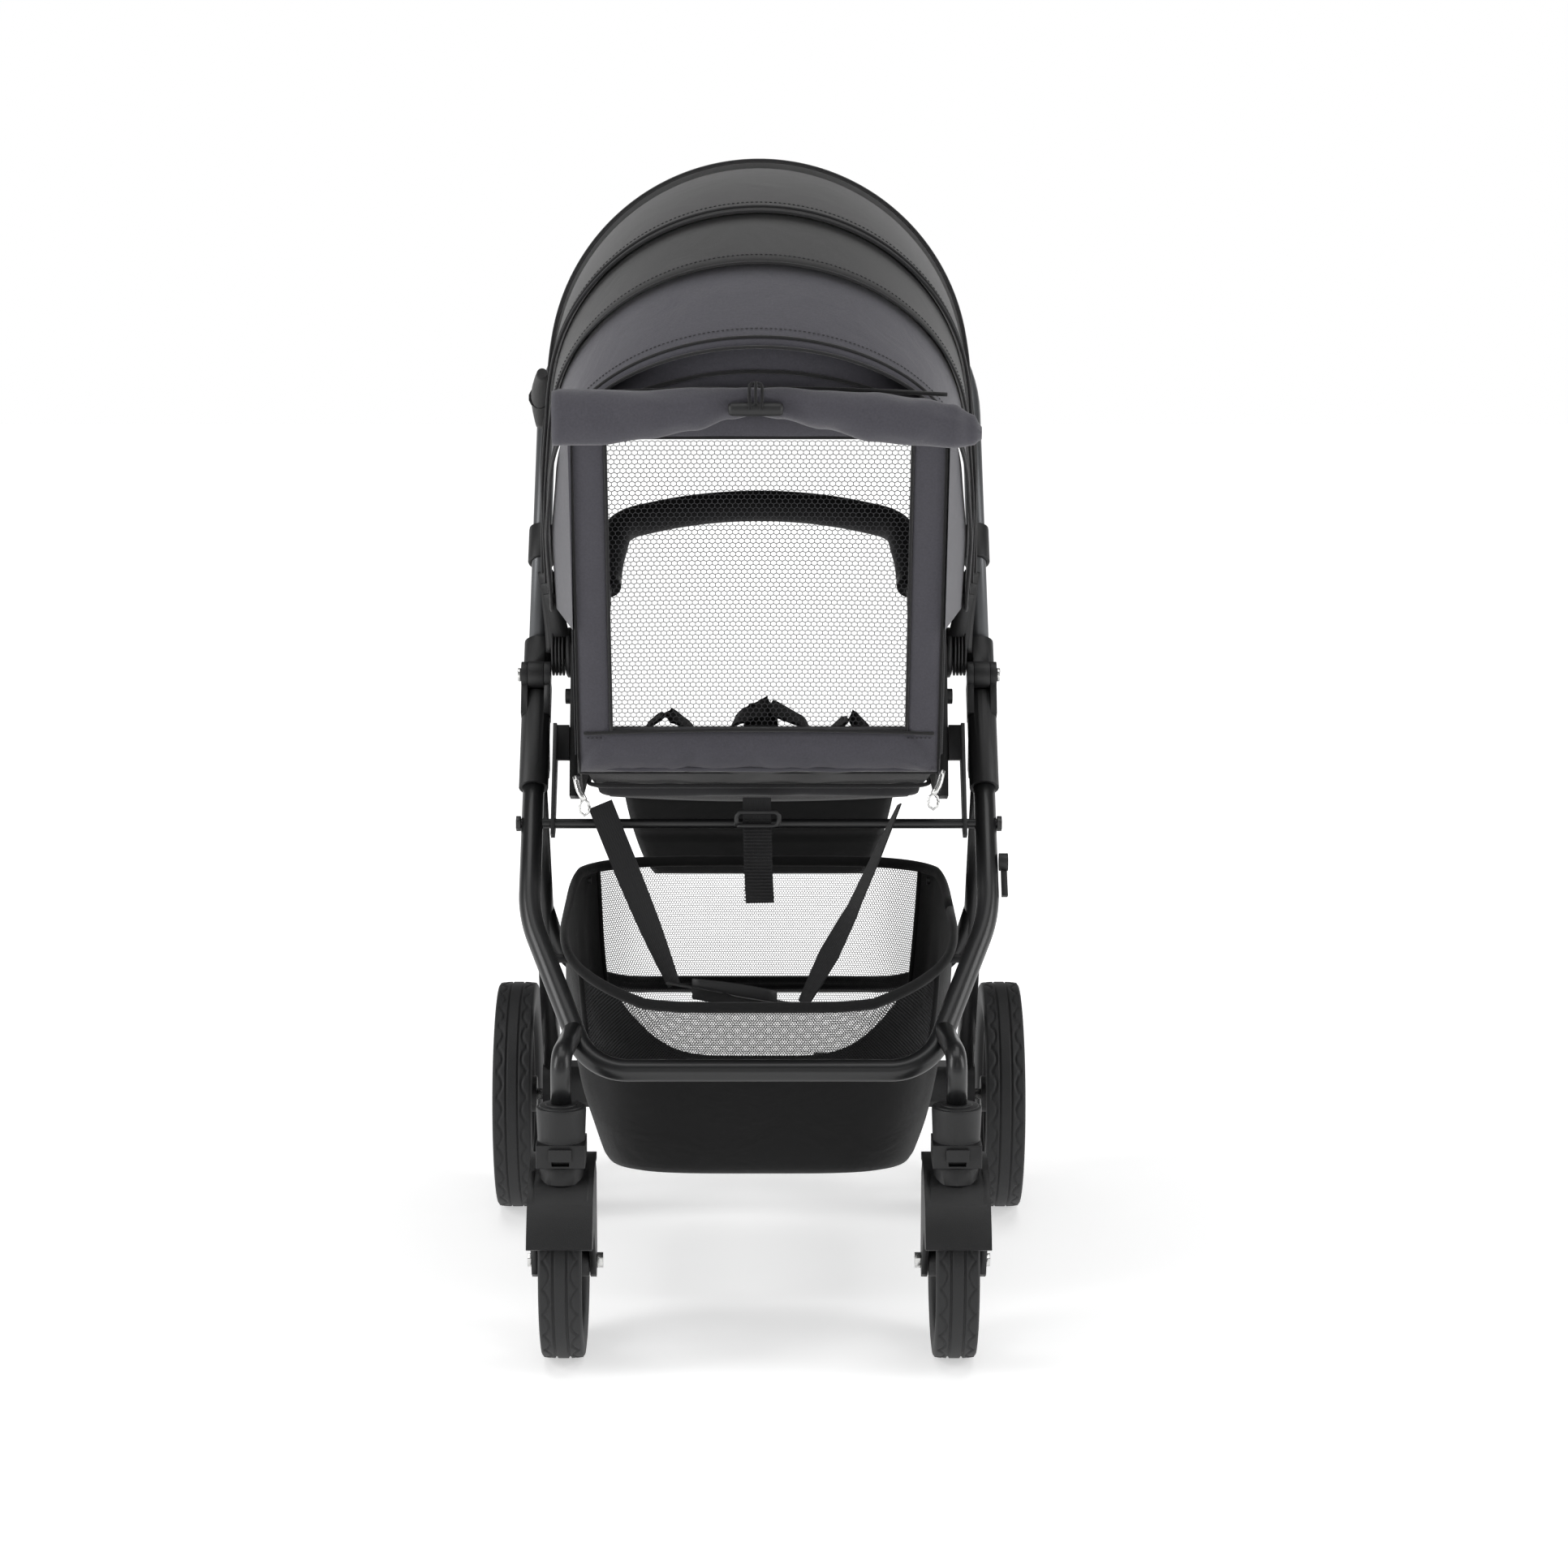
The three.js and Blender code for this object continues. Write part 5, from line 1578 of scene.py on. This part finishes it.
# Piping and seams follow the panels' edges, a hair above the cloth.
TRIM = [
    ("trim_fixed", (46.2, 44.7), 3, "seat", 1.7),
    ("trim_mid", (33.2,), 2, "hood_mid", 1.3),
    ("trim_top", (23.2, 21.9), 1, "hood_top", 1.7),
    ("trim_visor", (-0.3, -37.9), 0, "hood_visor", 2.0),
]
for name, angles, layer, body, r in TRIM:
    for k, phi in enumerate(angles):
        path = []
        for u in np.linspace(0, 1, 120):
            sunk = 1.3 * (1 - math.sin(math.pi * u)) if layer else 0.0
            path.append(hoop_point(phi, u, layer, 0.4 - sunk))
        cord_line(name + "_" + str(k), path, r, piping_cloth, body, "canopy", 8)
for name, phi, layer, body in (
    ("fixed", 43.4, 3, "seat"),
    ("mid", 31.6, 2, "hood_mid"),
    ("top", 20.6, 1, "hood_top"),
    ("visor", -35.8, 0, "hood_visor"),
):
    path = [hoop_point(phi, u, layer, 0.3) for u in np.linspace(0.01, 0.99, 160)]
    laid("hood_stitches_" + name, [path], body, "canopy", sewing_thread, 0.0045, (0.0032, 0.0011, 0.0011))

# Each foot is hemmed, and hangs from a flat spring arm on the hub.
for name, start, end, layer, body in (
    ("fixed", 46, 31, 3, "seat"),
    ("mid", 33, 21, 2, "hood_mid"),
    ("top", 23, -2, 1, "hood_top"),
    ("visor", 0, -38, 0, "hood_visor"),
):
    for side, u in (("r", 0.0), ("l", 1.0)):
        hem = [hoop_point(phi, u, layer, -0.7) for phi in np.linspace(start, end, 24)]
        cord_line("hood_hem_" + name + "_" + side, hem, 2.4, charcoal, body, "canopy", 8)
        sign = 1 if side == "r" else -1
        half = HOOD_HALF - 3.5 * layer
        turn = math.radians((start + end) / 2)
        arm = []
        for h in np.linspace(0, HOOD_FOOT + 14, 14):
            grow = 9.5 * (h / (HOOD_FOOT + 14)) ** 1.5
            arm.append(
                at(sign * (half - 1.4 + grow), HUB[0] - h * math.sin(turn), HUB[1] + h * math.cos(turn))
            )
        flat = [(-0.0007, -0.008), (0.0007, -0.008), (0.0007, 0.008), (-0.0007, 0.008)]
        strip = section_rows(arm, [(b, a) for a, b in flat])
        dress(
            link("hood_arm_" + name + "_" + side, lay_grid("hood_arm", strip, True, True)),
            moulded,
            body,
            "plastic",
        )
        disc = []
        for w, r in ((-1.2, 23), (-1.0, 24), (1.0, 24), (1.2, 23)):
            disc.append(
                [
                    at(
                        sign * (half - 1.25) + w,
                        HUB[0] + r * math.cos(a),
                        HUB[1] + r * math.sin(a),
                    ) for a in np.linspace(0, TWO_PI, 40, endpoint=False)
                ]
            )
        dress(
            link("hood_hub_" + name + "_" + side, lay_grid("hood_hub", disc, True, True)),
            moulded,
            body,
            "plastic",
        )

# The back of the hood runs down from the fixed hoop to the edges of the seat back.
rear_rows = []
for i in range(25):
    t = i / 24
    row = []
    for j in range(97):
        u = j / 96
        top = hoop_point(43.2, u, 3.9, -2.0)
        v = 1 - 2 * u
        spread = max(-1.0, min(1.0, v * 1.75))
        fall = max(0.0, abs(v) - 1 / 1.75) / (1 - 1 / 1.75)
        low = on_back(180 * spread, 924 - 215 * fall, -6)
        point = top.lerp(low, t)
        puff = 5.0 * math.sin(math.pi * t) * (1 - fall)
        crease = 3.4 * math.sin(math.pi * t) * wrinkle(Vector((spread * 5, t * 1.6, fall * 3)), 1, 21)
        row.append(point + Vector((0.0, -(puff + crease), (puff + crease) * 0.3)) / 1000)
    rear_rows.append(row)
rear_inner = [[p + Vector((0, 0.0015, -0.0006)) for p in row] for row in rear_rows]
rear_cloth = link(
    "hood_back",
    lay_grid("hood_back", [a + b[::-1] for a, b in zip(rear_rows, rear_inner)], True, True),
)
dress(rear_cloth, slate, "seat", "flap", "canopy_rear")
hem_row = [p + Vector((0, -0.0015, 0)) for p in rear_rows[12][22:75]]
cord_line("hood_back_piping", hem_row, 1.9, piping_cloth, "seat", "flap")

# A side vent cover is rolled up and tied near the top of the left flank.
side_roll = [
    hoop_point(
        10 - 14 * t,
        0.80 + 0.055 * t,
        0,
        5 + 2 * math.sin(math.pi * t),
    ) for t in np.linspace(0, 1, 16)
]
roll_shape = [
    (0.0075 * math.cos(a), 0.0075 * math.sin(a)) for a in np.linspace(0, TWO_PI, 14, endpoint=False)
]
swollen = section_rows(
    side_roll,
    lambda t: [
        (
            x * (0.7 + 0.5 * math.sin(math.pi * t)),
            y * (0.7 + 0.5 * math.sin(math.pi * t)),
        ) for x, y in roll_shape
    ],
)
dress(
    link("side_vent_roll", lay_grid("side_vent_roll", swollen, True, True)),
    charcoal,
    "hood_visor",
    "canopy",
)
tie = [
    side_roll[8] + Vector(
        (0.0105 * math.cos(a), 0, 0.0105 * math.sin(a))
    ) for a in np.linspace(0, TWO_PI, 20)
]
cord_line("side_vent_tie", tie, 1.4, webbing, "hood_visor", "webbing")

# ---- Basket -------------------------------------------------------------
# A sewn tub of near-black cloth under a corded rim, with panels of fine net at the front
# and the back. It hangs from studs on the frame and sags between them.
BASKET_ANGLES = 240
BASKET_LEVELS = 52


def squared(value, power):
    return math.copysign(abs(value) ** power, value)


def rim_height(angle):
    """Height of the rim round the basket: low in front, high behind."""
    rear = math.sin(angle)
    side = abs(math.cos(angle))
    height = 344 + 62 * max(0.0, min(1.0, (rear + 0.95) / 1.35)) ** 0.8
    sag_front = 9 * max(0.0, -rear) ** 6 * (1 - side ** 2)
    sag_back = 3 * max(0.0, rear) ** 6
    return height - sag_front + sag_back * 0.3


def basket_point(level, angle):
    """Level 0 is the middle of the floor, 0.35 its edge and 1 the rim."""
    c, s = squared(math.cos(angle), 0.42), squared(math.sin(angle), 0.42)
    rim_half = 197 - 9 * max(0.0, math.sin(angle)) ** 3 - 14 * max(0.0, -math.sin(angle)) ** 3
    rim_x, rim_y = rim_half * c, (250 + 191 * s if s > 0 else 250 + 196 * s)
    rim_z = rim_height(angle)
    foot_x, foot_y, foot_z = 158 * c, 260 + (152 if s > 0 else 148) * s, 152
    if level < 0.35:
        t = level / 0.35
        x, y = foot_x * t, 260 + (foot_y - 260) * t
        z = 140 + 12 * t ** 6
    else:
        t = (level - 0.35) / 0.65
        ease = t ** 0.8
        x = foot_x + (rim_x - foot_x) * ease
        y = foot_y + (rim_y - foot_y) * ease
        z = foot_z + (rim_z - foot_z) * t
        belly = 9 * math.sin(math.pi * t) ** 1.3
        side = abs(math.cos(angle)) ** 2
        folds = side * 6.5 * wrinkle(Vector((math.sin(angle) * 5, t * 2.2, math.copysign(2, c))), 1, 31)
        folds += 2.2 * wrinkle(Vector((angle * 3, t * 2.5, 1)), 1, 33)
        out = (belly + folds * math.sin(math.pi * min(1, t * 1.05))) * (0.35 + 0.65 * side)
        x += c * out * 0.8
        y += s * out * 0.25
    return at(x, y, z)


def basket_rows():
    rows = []
    for i in range(BASKET_LEVELS + 1):
        level = i / BASKET_LEVELS * 0.999 + 0.001
        rows.append([basket_point(level, TWO_PI * j / BASKET_ANGLES) for j in range(BASKET_ANGLES)])
    return rows


def net_zone(level, angle):
    """True where the wall is net: the back panel and the upper front panel."""
    rear, side = math.sin(angle), abs(math.cos(angle))
    if level <= 0.35:
        return False
    t = (level - 0.35) / 0.65
    if rear > 0 and side < 0.76:
        return t > 0.16 + 0.34 * (side / 0.76) ** 2
    if rear < 0 and side < 0.8:
        return t > 0.62
    return False


outer_rows = basket_rows()
mesh = lay_grid("basket_shell", outer_rows, True, False)
centre = bmesh.new()
centre.from_mesh(mesh)
bmesh.ops.holes_fill(
    centre,
    edges=[e for e in centre.edges if e.is_boundary and e.verts[0].co.z < 0.2],
    sides=0,
)
centre.to_mesh(mesh)
centre.free()
basket_shell = link("basket_shell", mesh)
dress(basket_shell, basket_cloth, "chassis", "basket", "basket")
basket_shell.data.materials.append(fine_net)
face = 0
for i in range(BASKET_LEVELS):
    for j in range(BASKET_ANGLES):
        level = (i + 0.5) / BASKET_LEVELS
        angle = TWO_PI * (j + 0.5) / BASKET_ANGLES
        if net_zone(level, angle):
            basket_shell.data.polygons[face].material_index = 1
        face += 1
thick = basket_shell.modifiers.new("cloth", "SOLIDIFY")
thick.thickness = 0.0012
thick.offset = -1

rim_path = [basket_point(1.0, TWO_PI * k / 160) for k in range(161)]
rim_rows = section_rows(
    rim_path,
    [(0.0045 * math.cos(a), 0.006 * math.sin(a)) for a in np.linspace(0, TWO_PI, 12, endpoint=False)],
)
basket_rim = dress(
    link("basket_rim", lay_grid("basket_rim", rim_rows, True, True)),
    basket_cloth,
    "chassis",
    "basket",
)
SIDE_LIMIT = {"back": 0.76, "front": 0.8}
back_start, front_start = math.acos(SIDE_LIMIT["back"]), math.acos(SIDE_LIMIT["front"])
seam_paths = []
for edge_angle in (back_start, math.pi - back_start):
    seam_paths.append([basket_point(0.35 + 0.65 * t, edge_angle) for t in np.linspace(0.5, 1, 26)])
for edge_angle in (-front_start, math.pi + front_start):
    seam_paths.append([basket_point(0.35 + 0.65 * t, edge_angle) for t in np.linspace(0.62, 1, 20)])
back_low = []
for a in np.linspace(back_start, math.pi - back_start, 60):
    back_low.append(basket_point(0.35 + 0.65 * (0.16 + 0.34 * (abs(math.cos(a)) / 0.76) ** 2), a))
seam_paths.append(back_low)
front_arc = np.linspace(math.pi + front_start, TWO_PI - front_start, 60)
seam_paths.append([basket_point(0.35 + 0.65 * 0.62, a) for a in front_arc])
bindings = []
for k, path in enumerate(seam_paths):
    bindings.append(cord_line("basket_binding_" + str(k), path, 3.2, basket_cloth, "chassis", "basket", 10))
# Each basket piece gets a mesh of its own.
for piece in [basket_shell, basket_rim] + bindings:
    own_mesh(piece)
for k, a in enumerate((0.55, math.pi - 0.55, -0.32, math.pi + 0.32)):
    spot = basket_point(0.97, a)
    out = Vector((math.copysign(0.016, math.cos(a)), 0, 0))
    cord_line(
        "basket_stud_" + str(k),
        [spot - out * 0.2, spot + out * 0.6, spot + out],
        4.5,
        moulded,
        "chassis",
        "plastic",
        16,
    )
